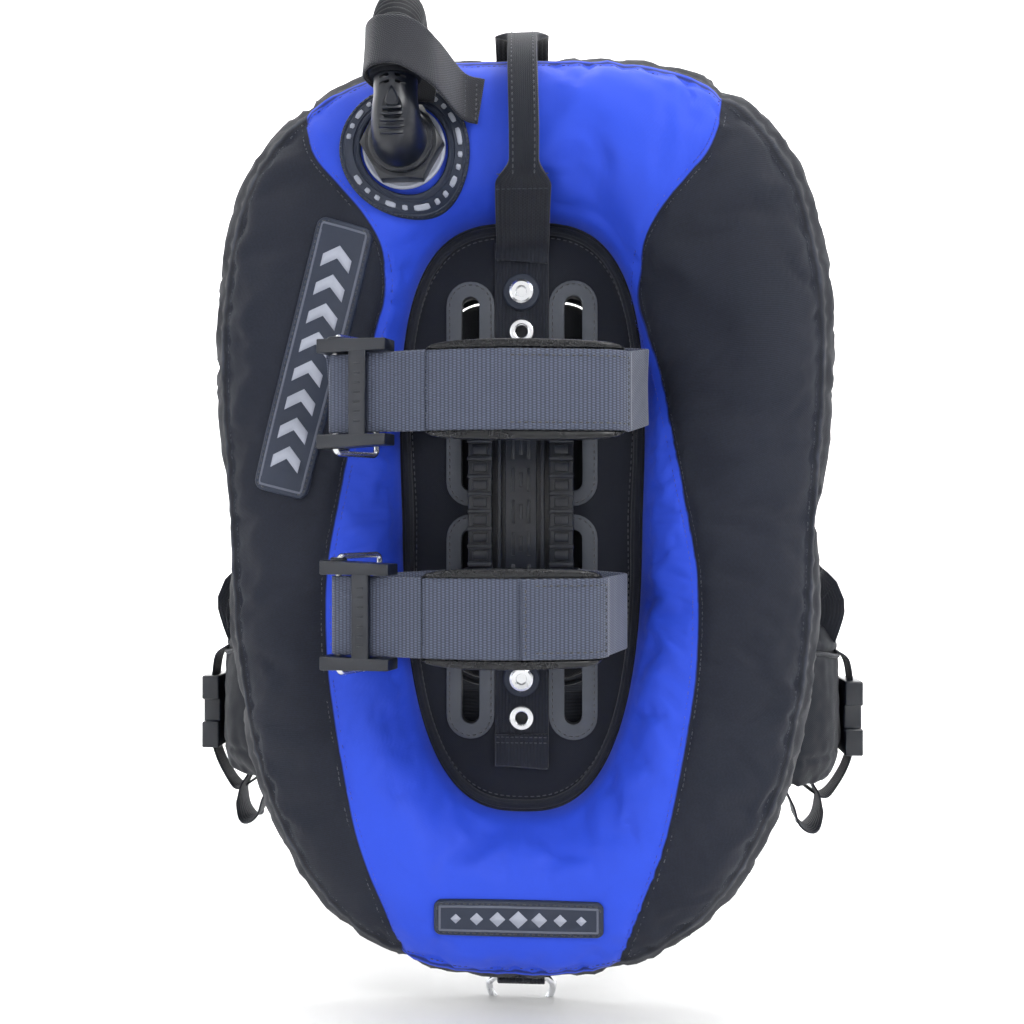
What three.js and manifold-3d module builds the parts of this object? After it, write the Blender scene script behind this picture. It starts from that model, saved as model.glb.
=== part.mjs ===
// A back-mounted buoyancy vest for diving: an oval air cell behind a harness, with two tank bands.
// Millimetres, +Z up. The origin is on the flat middle face of the tank support.
// -Y points to the tank, +Y to the diver, and +X to the diver's right.
import * as THREE from "three";
import { mergeVertices } from "three/addons/utils/BufferGeometryUtils.js";
import Module from "manifold-3d";

const wasm = await Module();
wasm.setup();

// ---- driving sizes ----
const seat = 0.3; // gap between two pieces that touch
const running = 0.4; // gap round a piece that moves
const softGap = 0.6; // gap under a piece that lies on soft fabric
const patchLift = 0.9; // the same under a patch that follows the curved cell

const wing = {
  width: 420,
  height: 643,
  centreZ: -23,
  squareness: 2.92, // exponent of the oval outlines
  squarenessChange: 0.2, // how much squarer the top is
  taperTop: 0.135, // how much wider the upper half grows
  taperBottom: 0.05,
  bulgeTank: 52, // how far the cell stands out towards the tank
  bulgeDiver: 26,
  roundness: 2.3, // exponent of the cell's section
  openingWidth: 174,
  openingHeight: 426,
  cover: 2.2, // wall of the outer cover
  bladderGap: 0.8,
  bladderWall: 1,
  around: 40,
  section: 14,
};
const panel = { front: 12, thickness: 3, edge: 0.4 };
const hole = { radius: 4.6, pitch: 279.4, second: 28.5 };
const strip = { width: 39, thickness: 2, tail: 36 };
const slot = { width: 13, length: 141, offset: 37.3, upperZ: 66.5, lowerZ: -102.5, border: 11, trim: 2 };
const support = {
  height: 225, centreZ: -12.5, plateau: 11.4, railInner: 20.5, railOuter: 37.5,
  back: 9.4, floor: 5, railFront: -5, ribRise: 3, ribPitch: 12.5, ribWidth: 7.5,
};
const band = {
  width: 50, thickness: 1.8, layerGap: 0.5, behindPlate: 1.6, throughX: 41.4, cornerRadius: 4.6,
  padHeight: 62, padThickness: 5, padLip: 1.6, pinWire: 2, stitchGap: 0.5, pinY: -91, linkAcross: 20,
  linkDeep: 35, reach: 122, tail: 26,
};
const lever = {
  angle: -18, left: 9, right: 40, barFrom: 14, barTo: 26, barThickness: 4, railHeight: 9, railFront: 9, railBack: 5,
};
const bands = [
  { name: "upper", z: 74, droop: 0.2, pinX: -114, turnX: 84 },
  { name: "lower", z: -85, droop: 0, pinX: -112, turnX: 70 },
];
const handle = { wide: 38, grip: 20, gripThickness: 7, thickness: 3, clearance: 11 };
const port = {
  x: -76, z: 226, patchOuter: 44, patchInner: 29.5, patchThickness: 2.4, patchLift: 2.2, flange: 28, neck: 20, depth: 12,
};
const flange = { thickness: 4 };
const nut = { acrossCorners: 56, height: 12 };
const elbow = { radius: 16, wall: 2.6, stand: 20, bend: 16, rise: 16, base: 21, baseHeight: 4 };
const hose = { radius: 17, sides: 10, steps: 26, endX: -98, endY: 246, endZ: 98 };
const hoseStrap = { width: 36, thickness: 1.8 };
const inflator = { radius: 17, length: 84, mouthRadius: 12, mouthBore: 8, mouthLength: 36, mouthDrop: 24 };
const button = { radius: 7.5, length: 10, proud: 5, travel: 4 };
const dump = { x: -112, z: -250, radius: 25, flange: 3.5, cap: 20, capHeight: 8, neck: 15, depth: 8 };
const plate = { gap: 0.6, thickness: 4, width: 146, top: 166, bottom: -196, corner: 56 };
const backPad = { width: 124, top: 138, bottom: -146, thickness: 22, corner: 34, gap: 0.7 };
const shoulder = { width: 62, thickness: 13, tongue: 38 };
const ribbon = { thickness: 1.8 };
const waist = { width: 50, z: -176, side: 206, front: 262 };
const chest = { width: 25, z: 118, reach: 116, padX: 92, y: 217.9, drop: 6, rise: 3 };
const lower = { width: 38 };
const buckle = { wall: 2.4, depth: 11, socket: 34, cavity: 18, plug: 14, prong: 4.4, pocket: 12, side: 8.5 };
const pocket = { height: 138, z: -166, thickness: 40, innerX: 150, frontY: 210 };
const pocketBuckle = {
  x: 254.8, y: 100, z: -180, height: 58, width: 32, depth: 14, prongGap: 5, prongLow: -8, prongHigh: 10,
};
const ring = { wire: 2.5, radius: 20, bottomZ: -353 };
const patches = {
  side: { x: -139, z: 85, angle: 76, length: 190, width: 38, thickness: 2.4 },
  lower: { x: 1, z: -292, angle: 0, length: 114, width: 24, thickness: 2.2 },
};
const circle = 2 * Math.PI;

// ---- materials ----
const finish = (color, roughness, metalness = 0) =>
  new THREE.MeshStandardMaterial({ color, roughness, metalness });
const blueCloth = finish(0x2c46d8, 0.75);
const blackCloth = finish(0x16181f, 0.9);
const webbingBlack = finish(0x24262c, 0.85);
const blackPlastic = finish(0x1b1e24, 0.45);
const greyRubber = finish(0x5b606b, 0.6);
const blackRubber = finish(0x202329, 0.65);
const steel = finish(0xc4c7cc, 0.25, 1);
const foam = finish(0x1a1b20, 0.95);

// ---- shared geometry ----
const vest = new THREE.Group();
const add = (name, geometry, material) => {
  const mesh = new THREE.Mesh(geometry, material);
  mesh.name = name;
  vest.add(mesh);
  return mesh;
};
const v3 = (x, y, z) => new THREE.Vector3(x, y, z);
const upZ = v3(0, 0, 1);

function faceOutward(geometry) {
  const p = geometry.attributes.position;
  const index = geometry.index.array;
  const [a, b, c] = [v3(), v3(), v3()];
  let volume = 0;
  for (let i = 0; i < index.length; i += 3) {
    a.fromBufferAttribute(p, index[i]);
    b.fromBufferAttribute(p, index[i + 1]);
    c.fromBufferAttribute(p, index[i + 2]);
    volume += a.dot(b.cross(c));
  }
  if (volume < 0) index.reverse();
  return geometry;
}

// A skin over a row of rings that have the same number of points. A loop joins its last ring to its first.
function loft(rings, loop = false) {
  const n = rings[0].length;
  const index = [];
  const spans = loop ? rings.length : rings.length - 1;
  for (let i = 0; i < spans; i++) {
    const here = i * n;
    const next = ((i + 1) % rings.length) * n;
    for (let j = 0; j < n; j++) {
      const k = (j + 1) % n;
      index.push(here + j, next + j, next + k, here + j, next + k, here + k);
    }
  }
  if (!loop) {
    const last = (rings.length - 1) * n;
    const first = rings[0].map((p, j) => new THREE.Vector2(...flatten(rings[0], p)));
    THREE.ShapeUtils.triangulateShape(first, []).forEach(([a, b, c]) => {
      index.push(a, b, c, last + c, last + b, last + a);
    });
  }
  const points = rings.flat().flatMap((p) => [p.x, p.y, p.z]);
  const geometry = new THREE.BufferGeometry();
  geometry.setAttribute("position", new THREE.Float32BufferAttribute(points, 3));
  geometry.setIndex(index);
  return faceOutward(geometry);
}

// A point's place in the plane of its ring.
function flatten(points, p) {
  const origin = points[0];
  const u = points[1].clone().sub(origin).normalize();
  const normal = v3();
  points.forEach((q, i) => normal.add(q.clone().sub(origin).cross(
    points[(i + 1) % points.length].clone().sub(origin))));
  normal.normalize();
  const v = normal.clone().cross(u);
  const d = p.clone().sub(origin);
  return [d.dot(u), d.dot(v)];
}

const solidOf = (geometry) => {
  const bare = geometry.clone();
  bare.deleteAttribute("normal");
  bare.deleteAttribute("uv");
  const merged = mergeVertices(bare, 1e-3);
  return new wasm.Manifold(new wasm.Mesh({
    numProp: 3,
    vertProperties: merged.attributes.position.array,
    triVerts: new Uint32Array(merged.index.array),
  }));
};
const geometryOf = (solid) => {
  const mesh = solid.getMesh();
  const geometry = new THREE.BufferGeometry();
  geometry.setAttribute("position", new THREE.BufferAttribute(mesh.vertProperties, 3));
  geometry.setIndex(new THREE.BufferAttribute(mesh.triVerts, 1));
  return geometry;
};
const join = (...pieces) => geometryOf(pieces.map(solidOf).reduce((a, b) => a.add(b)));
const cut = (from, ...tools) => geometryOf(tools.map(solidOf).reduce((a, b) => a.subtract(b), solidOf(from)));

// Points along a smooth line through the given ones, evenly spaced.
const smooth = (points, steps) =>
  new THREE.CatmullRomCurve3(points, false, "centripetal").getSpacedPoints(steps);

// A bent line with round corners. Each corner is [point, radius].
function rounded(corners, arcSteps = 5) {
  const out = [corners[0][0]];
  for (let i = 1; i < corners.length - 1; i++) {
    const [corner, radius] = corners[i];
    const back = corners[i - 1][0].clone().sub(corner).normalize();
    const on = corners[i + 1][0].clone().sub(corner).normalize();
    const half = back.angleTo(on) / 2;
    const reach = radius / Math.tan(half);
    const centre = corner.clone().addScaledVector(back.clone().add(on).normalize(), radius / Math.sin(half));
    const from = corner.clone().addScaledVector(back, reach).sub(centre);
    const to = corner.clone().addScaledVector(on, reach).sub(centre);
    const turn = from.angleTo(to);
    for (let s = 0; s <= arcSteps; s++) {
      const t = s / arcSteps;
      const p = from.clone().multiplyScalar(Math.sin((1 - t) * turn) / Math.sin(turn));
      out.push(p.addScaledVector(to, Math.sin(t * turn) / Math.sin(turn)).add(centre));
    }
  }
  out.push(corners[corners.length - 1][0]);
  return out;
}

// A section carried along a path. Its first axis is the path's side, its second is the across direction.
function sweep(path, across, sectionAt, loop = false) {
  const last = path.length - 1;
  const rings = path.map((point, i) => {
    const before = path[loop ? (i + last) % path.length : Math.max(i - 1, 0)];
    const after = path[loop ? (i + 1) % path.length : Math.min(i + 1, last)];
    const into = point.clone().sub(before).normalize();
    const out = after.clone().sub(point).normalize();
    const along = into.clone().add(out).normalize();
    const width = typeof across === "function" ? across(i / last) : across;
    const side = along.clone().cross(width).normalize();
    const up = side.clone().cross(along).normalize();
    const stretch = into.lengthSq() && out.lengthSq() ? 1 / Math.cos(into.angleTo(out) / 2) : 1;
    return sectionAt(i / last).map(([s, u]) =>
      point.clone().addScaledVector(side, s * stretch).addScaledVector(up, u));
  });
  return loft(rings, loop);
}
const flat = (width, thickness) => {
  const [w, t] = [width / 2, thickness / 2];
  return () => [[-t, -w], [t, -w], [t, w], [-t, w]];
};
const round = (radius, sides) => {
  const points = Array.from({ length: sides }, (_, i) => {
    const a = ((i + 0.5) / sides) * circle;
    return [radius * Math.cos(a), radius * Math.sin(a)];
  });
  return () => points;
};
// A padded section with round edges.
const cushion = (width, thickness) => {
  const [w, t] = [width / 2, thickness / 2];
  return [[-t, -w + t], [-t / 2, -w], [t / 2, -w], [t, -w + t], [t, w - t], [t / 2, w], [-t / 2, w], [-t, w - t]];
};
const webbing = (path, across, width, thickness) => sweep(path, across, flat(width, thickness));

// A flat plate in the XZ plane, its face towards the tank at y = front.
const plateXZ = (shape, front, thickness, curveSegments = 6) =>
  new THREE.ExtrudeGeometry(shape, { depth: thickness, bevelEnabled: false, curveSegments })
    .rotateX(Math.PI / 2)
    .translate(0, front + thickness, 0);
// A turned piece whose axis is Y: each point is a radius and a distance towards the tank.
const lathe = (profile, sides) =>
  faceOutward(new THREE.LatheGeometry(profile.map(([r, h]) => new THREE.Vector2(r, h)), sides));
const turned = (profile, sides) => lathe(profile, sides).rotateX(Math.PI);
const cylinder = (radius, from, to, sides = 20) => turned([[0, from], [radius, from], [radius, to], [0, to]], sides);
const box = (x0, x1, y0, y1, z0, z1) =>
  new THREE.BoxGeometry(x1 - x0, y1 - y0, z1 - z0).translate((x0 + x1) / 2, (y0 + y1) / 2, (z0 + z1) / 2);

const stadium = (Type, x, z, width, length) => {
  const r = width / 2;
  const straight = length / 2 - r;
  return new Type()
    .moveTo(x + r, z - straight)
    .lineTo(x + r, z + straight)
    .absarc(x, z + straight, r, 0, Math.PI, false)
    .lineTo(x - r, z - straight)
    .absarc(x, z - straight, r, Math.PI, circle, false);
};
const roundedRect = (x0, x1, z0, z1, r) =>
  new THREE.Shape()
    .moveTo(x1, z0 + r)
    .lineTo(x1, z1 - r)
    .absarc(x1 - r, z1 - r, r, 0, Math.PI / 2, false)
    .lineTo(x0 + r, z1)
    .absarc(x0 + r, z1 - r, r, Math.PI / 2, Math.PI, false)
    .lineTo(x0, z0 + r)
    .absarc(x0 + r, z0 + r, r, Math.PI, 1.5 * Math.PI, false)
    .lineTo(x1 - r, z0)
    .absarc(x1 - r, z0 + r, r, 1.5 * Math.PI, circle, false);

// ---- the air cell ----
const share = (z) => (2 * (z - wing.centreZ)) / wing.height;
const narrowing = (z) => 1 + (z > wing.centreZ ? wing.taperTop : wing.taperBottom) * share(z);
const ovalRadius = (angle, width, height) => {
  const n = wing.squareness + wing.squarenessChange * Math.sin(angle);
  const across = Math.abs((2 * Math.cos(angle)) / width) ** n;
  return (across + Math.abs((2 * Math.sin(angle)) / height) ** n) ** (-1 / n);
};
const ovalPoint = (angle, radius) => {
  const z = wing.centreZ + radius * Math.sin(angle);
  return new THREE.Vector2(radius * Math.cos(angle) * narrowing(z), z);
};
// Where a place on the cell lies: 0 at the opening's edge, 1 at the outer edge.
function shareAcross(x, z) {
  const dz = z - wing.centreZ;
  const dx = x / narrowing(z);
  const angle = Math.atan2(dz, dx);
  const inner = ovalRadius(angle, wing.openingWidth, wing.openingHeight);
  const outer = ovalRadius(angle, wing.width, wing.height);
  return Math.min(Math.max((Math.hypot(dx, dz) - inner) / (outer - inner), 0), 1);
}
const cellMiddle = (t) => panel.front * (1 - t) ** 2;
const cellHeight = (t) => Math.max(1 - Math.abs(2 * t - 1) ** wing.roundness, 0) ** (1 / wing.roundness);
const wingFront = (x, z) => {
  const t = shareAcross(x, z);
  return cellMiddle(t) - wing.bulgeTank * cellHeight(t);
};
const wingBack = (x, z) => {
  const t = shareAcross(x, z);
  return cellMiddle(t) + wing.bulgeDiver * cellHeight(t);
};
const wingBottom = wing.centreZ - wing.height / 2;
const wingTop = wing.centreZ + wing.height / 2;
// The farthest the cell reaches towards the tank, or the diver, under a disc.
const discPoints = (x, z, r) =>
  Array.from({ length: 24 }, (_, i) => [x + r * Math.cos((i / 24) * circle), z + r * Math.sin((i / 24) * circle)])
    .concat([[x, z]]);
const frontUnder = (x, z, r) => Math.min(...discPoints(x, z, r).map(([a, b]) => wingFront(a, b)));
const backUnder = (x, z, r) => Math.max(...discPoints(x, z, r).map(([a, b]) => wingBack(a, b)));

function evenAngles(count) {
  const dense = Array.from({ length: 240 }, (_, i) => {
    const angle = (i / 240) * circle;
    const p = ovalPoint(angle, ovalRadius(angle, wing.width, wing.height));
    return v3(p.x, 0, p.y);
  });
  const spaced = new THREE.CatmullRomCurve3(dense, true).getSpacedPoints(count).slice(0, count);
  return spaced.map((p) => Math.atan2(p.z - wing.centreZ, p.x / narrowing(p.z)));
}
const cellAngles = evenAngles(wing.around);

// The cell's ring, drawn in by inset on every side.
function cellRing(inset) {
  const rings = cellAngles.map((angle) => {
    const inner = ovalRadius(angle, wing.openingWidth, wing.openingHeight) + inset;
    const outer = ovalRadius(angle, wing.width, wing.height) - inset;
    return Array.from({ length: wing.section }, (_, j) => {
      const v = (j / wing.section) * circle;
      const reach = Math.sign(Math.cos(v)) * Math.abs(Math.cos(v)) ** (2 / wing.roundness);
      const height = Math.sign(Math.sin(v)) * Math.abs(Math.sin(v)) ** (2 / wing.roundness);
      const t = (1 - reach) / 2;
      const bulge = (height > 0 ? wing.bulgeTank : wing.bulgeDiver) - inset;
      const p = ovalPoint(angle, inner + t * (outer - inner));
      return v3(p.x, cellMiddle(t) - bulge * height, p.y);
    });
  });
  return loft(rings, true);
}

const portFace = frontUnder(port.x, port.z, port.flange) - softGap;
const dumpFace = backUnder(dump.x, dump.z, dump.radius) + softGap;
function airCell() {
  const clear = 40;
  const portHole = cylinder(port.neck + running, -port.depth - running, clear).translate(port.x, portFace, port.z);
  const dumpHole = cylinder(dump.neck + running, -clear, dump.depth + running, 16)
    .translate(dump.x, dumpFace, dump.z);
  add("wing_shell", cut(cellRing(0), cellRing(wing.cover), portHole, dumpHole), blueCloth);
  const bag = wing.cover + wing.bladderGap;
  add("air_bladder", cut(cellRing(bag), cellRing(bag + wing.bladderWall), portHole, dumpHole), greyRubber);
}

// A flexible patch that follows the cell's face, long side at an angle to +X.
function surfacePatch({ x, z, angle, length, width, thickness }) {
  const turn = THREE.MathUtils.degToRad(angle);
  const steps = Math.ceil(length / 14);
  const columns = [-0.5, -0.2, 0.2, 0.5];
  const at = (u, v, lift) => {
    const px = x + u * Math.cos(turn) - v * Math.sin(turn);
    const pz = z + u * Math.sin(turn) + v * Math.cos(turn);
    return v3(px, wingFront(px, pz) - lift, pz);
  };
  const rings = Array.from({ length: steps + 1 }, (_, i) => {
    const u = (i / steps - 0.5) * length;
    const under = columns.map((c) => at(u, c * width, patchLift));
    const over = columns.map((c) => at(u, c * width, patchLift + thickness));
    return [...under, ...over.reverse()];
  });
  return loft(rings);
}

function cellPatches() {
  add("side_patch", surfacePatch(patches.side), blackRubber);
  add("lower_patch", surfacePatch(patches.lower), blackRubber);
  const sides = 26;
  const rings = Array.from({ length: sides }, (_, i) => {
    const a = (i / sides) * circle;
    const at = (r, lift) => {
      const [px, pz] = [port.x + r * Math.cos(a), port.z + r * Math.sin(a)];
      return v3(px, wingFront(px, pz) - lift, pz);
    };
    const radii = [port.patchInner, (port.patchInner + port.patchOuter) / 2, port.patchOuter];
    const under = radii.map((r) => at(r, port.patchLift));
    const over = radii.map((r) => at(r, port.patchLift + port.patchThickness));
    return [...under, ...over.reverse()];
  });
  add("port_patch", loft(rings, true), blackRubber);
}

// ---- the middle panel and what is fastened through it ----
const boltZ = [hole.pitch / 2, -hole.pitch / 2];
const grommetZ = boltZ.map((z) => z - hole.second);
const roundHole = (z, r = hole.radius) => new THREE.Path().absarc(0, z, r, 0, circle, true);
const slots = [
  ["upper_left", -slot.offset, slot.upperZ],
  ["upper_right", slot.offset, slot.upperZ],
  ["lower_left", -slot.offset, slot.lowerZ],
  ["lower_right", slot.offset, slot.lowerZ],
];
const slotHoles = () => slots.map(([, x, z]) => stadium(THREE.Path, x, z, slot.width, slot.length));
const stripFront = panel.front - seat - strip.thickness;
const panelBack = panel.front + panel.thickness;
const plateBack = panelBack + plate.gap + plate.thickness;

function middlePanel() {
  const outline = new THREE.Shape(cellAngles.map((angle) =>
    ovalPoint(angle, ovalRadius(angle, wing.openingWidth, wing.openingHeight) - panel.edge)));
  outline.holes = [...boltZ, ...grommetZ].map((z) => roundHole(z)).concat(slotHoles());
  add("centre_panel", plateXZ(outline, panel.front, panel.thickness), blackCloth);
  slots.forEach(([name, x, z]) => {
    const trim = stadium(THREE.Shape, x, z, slot.width + 2 * slot.border, slot.length + 2 * slot.border);
    trim.holes = [stadium(THREE.Path, x, z, slot.width, slot.length)];
    add(`slot_trim_${name}`, plateXZ(trim, panel.front - seat - slot.trim, slot.trim), greyRubber);
  });
}

function middleStrip() {
  const top = boltZ[0] + strip.tail;
  const bottom = grommetZ[1] - strip.tail;
  const room = 2 * (slot.offset - slot.width / 2 - slot.border - seat);
  const half = Math.min(strip.width, room) / 2;
  const outline = new THREE.Shape().moveTo(-half, bottom).lineTo(half, bottom).lineTo(half, top).lineTo(-half, top);
  outline.holes = [...boltZ, ...grommetZ].map((z) => roundHole(z));
  add("centre_webbing", plateXZ(outline, stripFront, strip.thickness), webbingBlack);

  const shank = hole.radius - seat;
  const deep = panelBack - stripFront;
  ["upper", "lower"].forEach((name, i) => {
    const eyelet = [
      [shank - 1.2, -deep], [shank, -deep], [shank, seat], [9, seat], [8.2, 1.8], [shank - 1.2, 1.8],
      [shank - 1.2, -deep],
    ];
    add(`grommet_${name}`, turned(eyelet, 16).translate(0, stripFront, grommetZ[i]), steel);
    const through = plateBack + seat - stripFront;
    const bolt = [
      [0, -through - 1.4], [8, -through - 1.4], [8, -through], [shank, -through], [shank, seat],
      [12, seat], [12, seat + 1.2], [9, seat + 1.6], [8.4, seat + 4.4], [4, seat + 4.8], [3.4, seat + 2.4],
      [0, seat + 2.4],
    ];
    add(`bolt_${name}`, turned(bolt, 14).translate(0, stripFront, boltZ[i]), steel);
  });
}

// ---- the moulded support that the tank lies against ----
function tankSupport() {
  const bottom = support.centreZ - support.height / 2;
  const { plateau, railInner, railOuter, back, floor, railFront } = support;
  const profile = new THREE.Shape()
    .moveTo(-railOuter, -back)
    .lineTo(railOuter, -back)
    .lineTo(railOuter, -railFront)
    .lineTo(railInner, -railFront)
    .lineTo(railInner, -floor)
    .lineTo(plateau, -floor)
    .lineTo(plateau, 0)
    .lineTo(-plateau, 0)
    .lineTo(-plateau, -floor)
    .lineTo(-railInner, -floor)
    .lineTo(-railInner, -railFront)
    .lineTo(-railOuter, -railFront);
  const body = new THREE.ExtrudeGeometry(profile, { depth: support.height, bevelEnabled: false })
    .rotateZ(Math.PI)
    .translate(0, 0, bottom);
  const count = Math.floor((support.height - support.ribWidth) / support.ribPitch);
  const first = support.centreZ - (count * support.ribPitch) / 2 - support.ribWidth / 2;
  const ribs = [];
  for (let i = 0; i <= count; i++) {
    const z = first + i * support.ribPitch;
    const front = railFront - support.ribRise;
    ribs.push(box(railInner, railOuter, front, railFront + 1, z, z + support.ribWidth));
    ribs.push(box(-railOuter, -railInner, front, railFront + 1, z, z + support.ribWidth));
  }
  add("tank_support", join(body, ...ribs), blackPlastic);
}

// ---- the tank bands ----
// A turn of webbing round a wire, in degrees.
const wrap = (centre, radius, from, to, steps = 9) =>
  Array.from({ length: steps + 1 }, (_, i) => {
    const a = THREE.MathUtils.degToRad(from + ((to - from) * i) / steps);
    return v3(centre.x + radius * Math.cos(a), centre.y + radius * Math.sin(a), centre.z);
  });
const turnedAbout = (geometry, angle, centre) =>
  geometry.rotateZ(THREE.MathUtils.degToRad(angle)).translate(centre.x, centre.y, centre.z);

function tankBand({ name, z, droop, pinX, turnX }) {
  const radius = band.pinWire + band.stitchGap + band.thickness / 2;
  const behind = plateBack + band.behindPlate;
  const pin = v3(pinX, band.pinY, 0);
  const far = v3(pinX + band.linkAcross, band.pinY + band.linkDeep, 0);
  const slotIn = v3(-band.throughX, -2, 0);
  const level = (p) => v3(p.x, p.y, z + droop * Math.max(Math.min(p.y, 0), band.pinY));
  const toSlot = THREE.MathUtils.radToDeg(Math.atan2(slotIn.y - far.y, slotIn.x - far.x));

  // From the sewn loop on the link, through the slots, round the front and about the pin.
  const linkLoop = wrap(far, radius, toSlot - 90 - 270, toSlot - 90);
  const pinLoop = wrap(pin, radius, lever.angle - 90 + 360, lever.angle + 90);
  const along = v3(1, 0, 0).applyAxisAngle(upZ, THREE.MathUtils.degToRad(lever.angle));
  const tail = pinLoop[9].clone().addScaledVector(along, band.tail);
  const front = rounded([
    [linkLoop[9], 0],
    [slotIn, 10],
    [v3(-band.throughX, behind, 0), band.cornerRadius],
    [v3(band.throughX, behind, 0), band.cornerRadius],
    [v3(band.throughX, -2, 0), 10],
    [v3(turnX + 4, -50, 0), 12],
    [v3(turnX - 16, -band.reach + 14, 0), 20],
    [v3(-20, -band.reach, 0), 150],
    [pinLoop[0], 0],
  ]);
  const path = [...linkLoop.slice(0, -1), ...front.slice(0, -1), ...pinLoop, tail].map(level);
  add(`tank_band_${name}`, webbing(path, upZ, band.width, band.thickness), webbingBlack);

  // The saddle that the band lies in, with a lip above and below it.
  const low = band.thickness / 2 + softGap;
  const high = low + band.padThickness;
  const [inside, outside] = [band.width / 2 + softGap, band.padHeight / 2];
  const lip = -band.padLip;
  const saddle = () => [
    [low, -inside], [lip, -inside], [lip, -outside], [high, -outside],
    [high, outside], [lip, outside], [lip, inside], [low, inside],
  ];
  const onPad = (p) => p.y < -band.reach + 20 && p.x > pinX + lever.right + 8 && p.x < turnX;
  add(`band_pad_${name}`, sweep(front.filter(onPad).map(level), upZ, saddle), blackRubber);

  const centre = level(pin);
  const railLow = band.width / 2 + 1;
  const railHigh = railLow + lever.railHeight;
  const barBack = radius + band.thickness / 2 + softGap;
  const bar = box(lever.barFrom, lever.barTo, -barBack - lever.barThickness, -barBack, -railLow - 1, railLow + 1);
  const rails = [
    box(-lever.left, lever.right, -lever.railFront, lever.railBack, railLow, railHigh),
    box(-lever.left, lever.right, -lever.railFront, lever.railBack, -railHigh, -railLow),
  ];
  const pinHole = new THREE.CylinderGeometry(band.pinWire + running, band.pinWire + running, 3 * railHigh, 12)
    .rotateX(Math.PI / 2);
  const frame = cut(join(rails[0], bar, rails[1]), pinHole);
  add(`buckle_lever_${name}`, turnedAbout(frame, lever.angle, centre), blackPlastic);

  const end = railHigh + running + band.pinWire;
  const farLevel = v3(far.x, far.y, centre.z);
  const corner = band.pinWire + seat;
  const wireLoop = rounded([
    [centre.clone(), 0],
    [centre.clone().add(v3(0, 0, end)), corner],
    [farLevel.clone().add(v3(0, 0, end)), corner],
    [farLevel.clone().add(v3(0, 0, -end)), corner],
    [centre.clone().add(v3(0, 0, -end)), corner],
    [centre.clone(), 0],
  ], 3).slice(0, -1);
  const across = far.clone().sub(pin).cross(upZ).normalize();
  add(`buckle_link_${name}`, sweep(wireLoop, across, round(band.pinWire, 8), true), steel);
}

// ---- the carry handle over the top edge ----
function carryHandle() {
  const frontGap = handle.clearance + handle.gripThickness / 2;
  const front = -wing.bulgeTank - frontGap;
  const sewn = boltZ[0] + strip.tail;
  const path = smooth([
    v3(0, stripFront - softGap - handle.thickness / 2, sewn - 14),
    v3(1, stripFront - softGap - handle.thickness / 2 - 2, sewn - 4),
    v3(2, -14, sewn + 8),
    v3(3.5, front + 27, sewn + 22),
    v3(5, front + 9, sewn + 36),
    v3(5.5, front, wingTop - 66),
    v3(5, front, wingTop - 42),
    v3(4, front + 9, wingTop - 16),
    v3(3, front + 29, wingTop + 5),
    v3(1, -6, wingTop + 16),
    v3(0, 24, wingTop + 2),
    v3(0, wing.bulgeDiver + 8, wingTop - 40),
    v3(0, wing.bulgeDiver + 8, wingTop - 90),
    v3(0, plateBack + 4, plate.top),
    v3(0, plateBack + seat + handle.thickness / 2, plate.top - 14),
  ], 34);
  const shape = (t) => {
    const grip = t > 0.2 && t < 0.5;
    const [w, h] = grip ? [handle.grip / 2, handle.gripThickness / 2] : [handle.wide / 2, handle.thickness / 2];
    return [[-h, -w], [h, -w], [h, w], [-h, w]];
  };
  add("carry_handle", sweep(path, v3(1, 0, 0), shape), webbingBlack);
}

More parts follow.
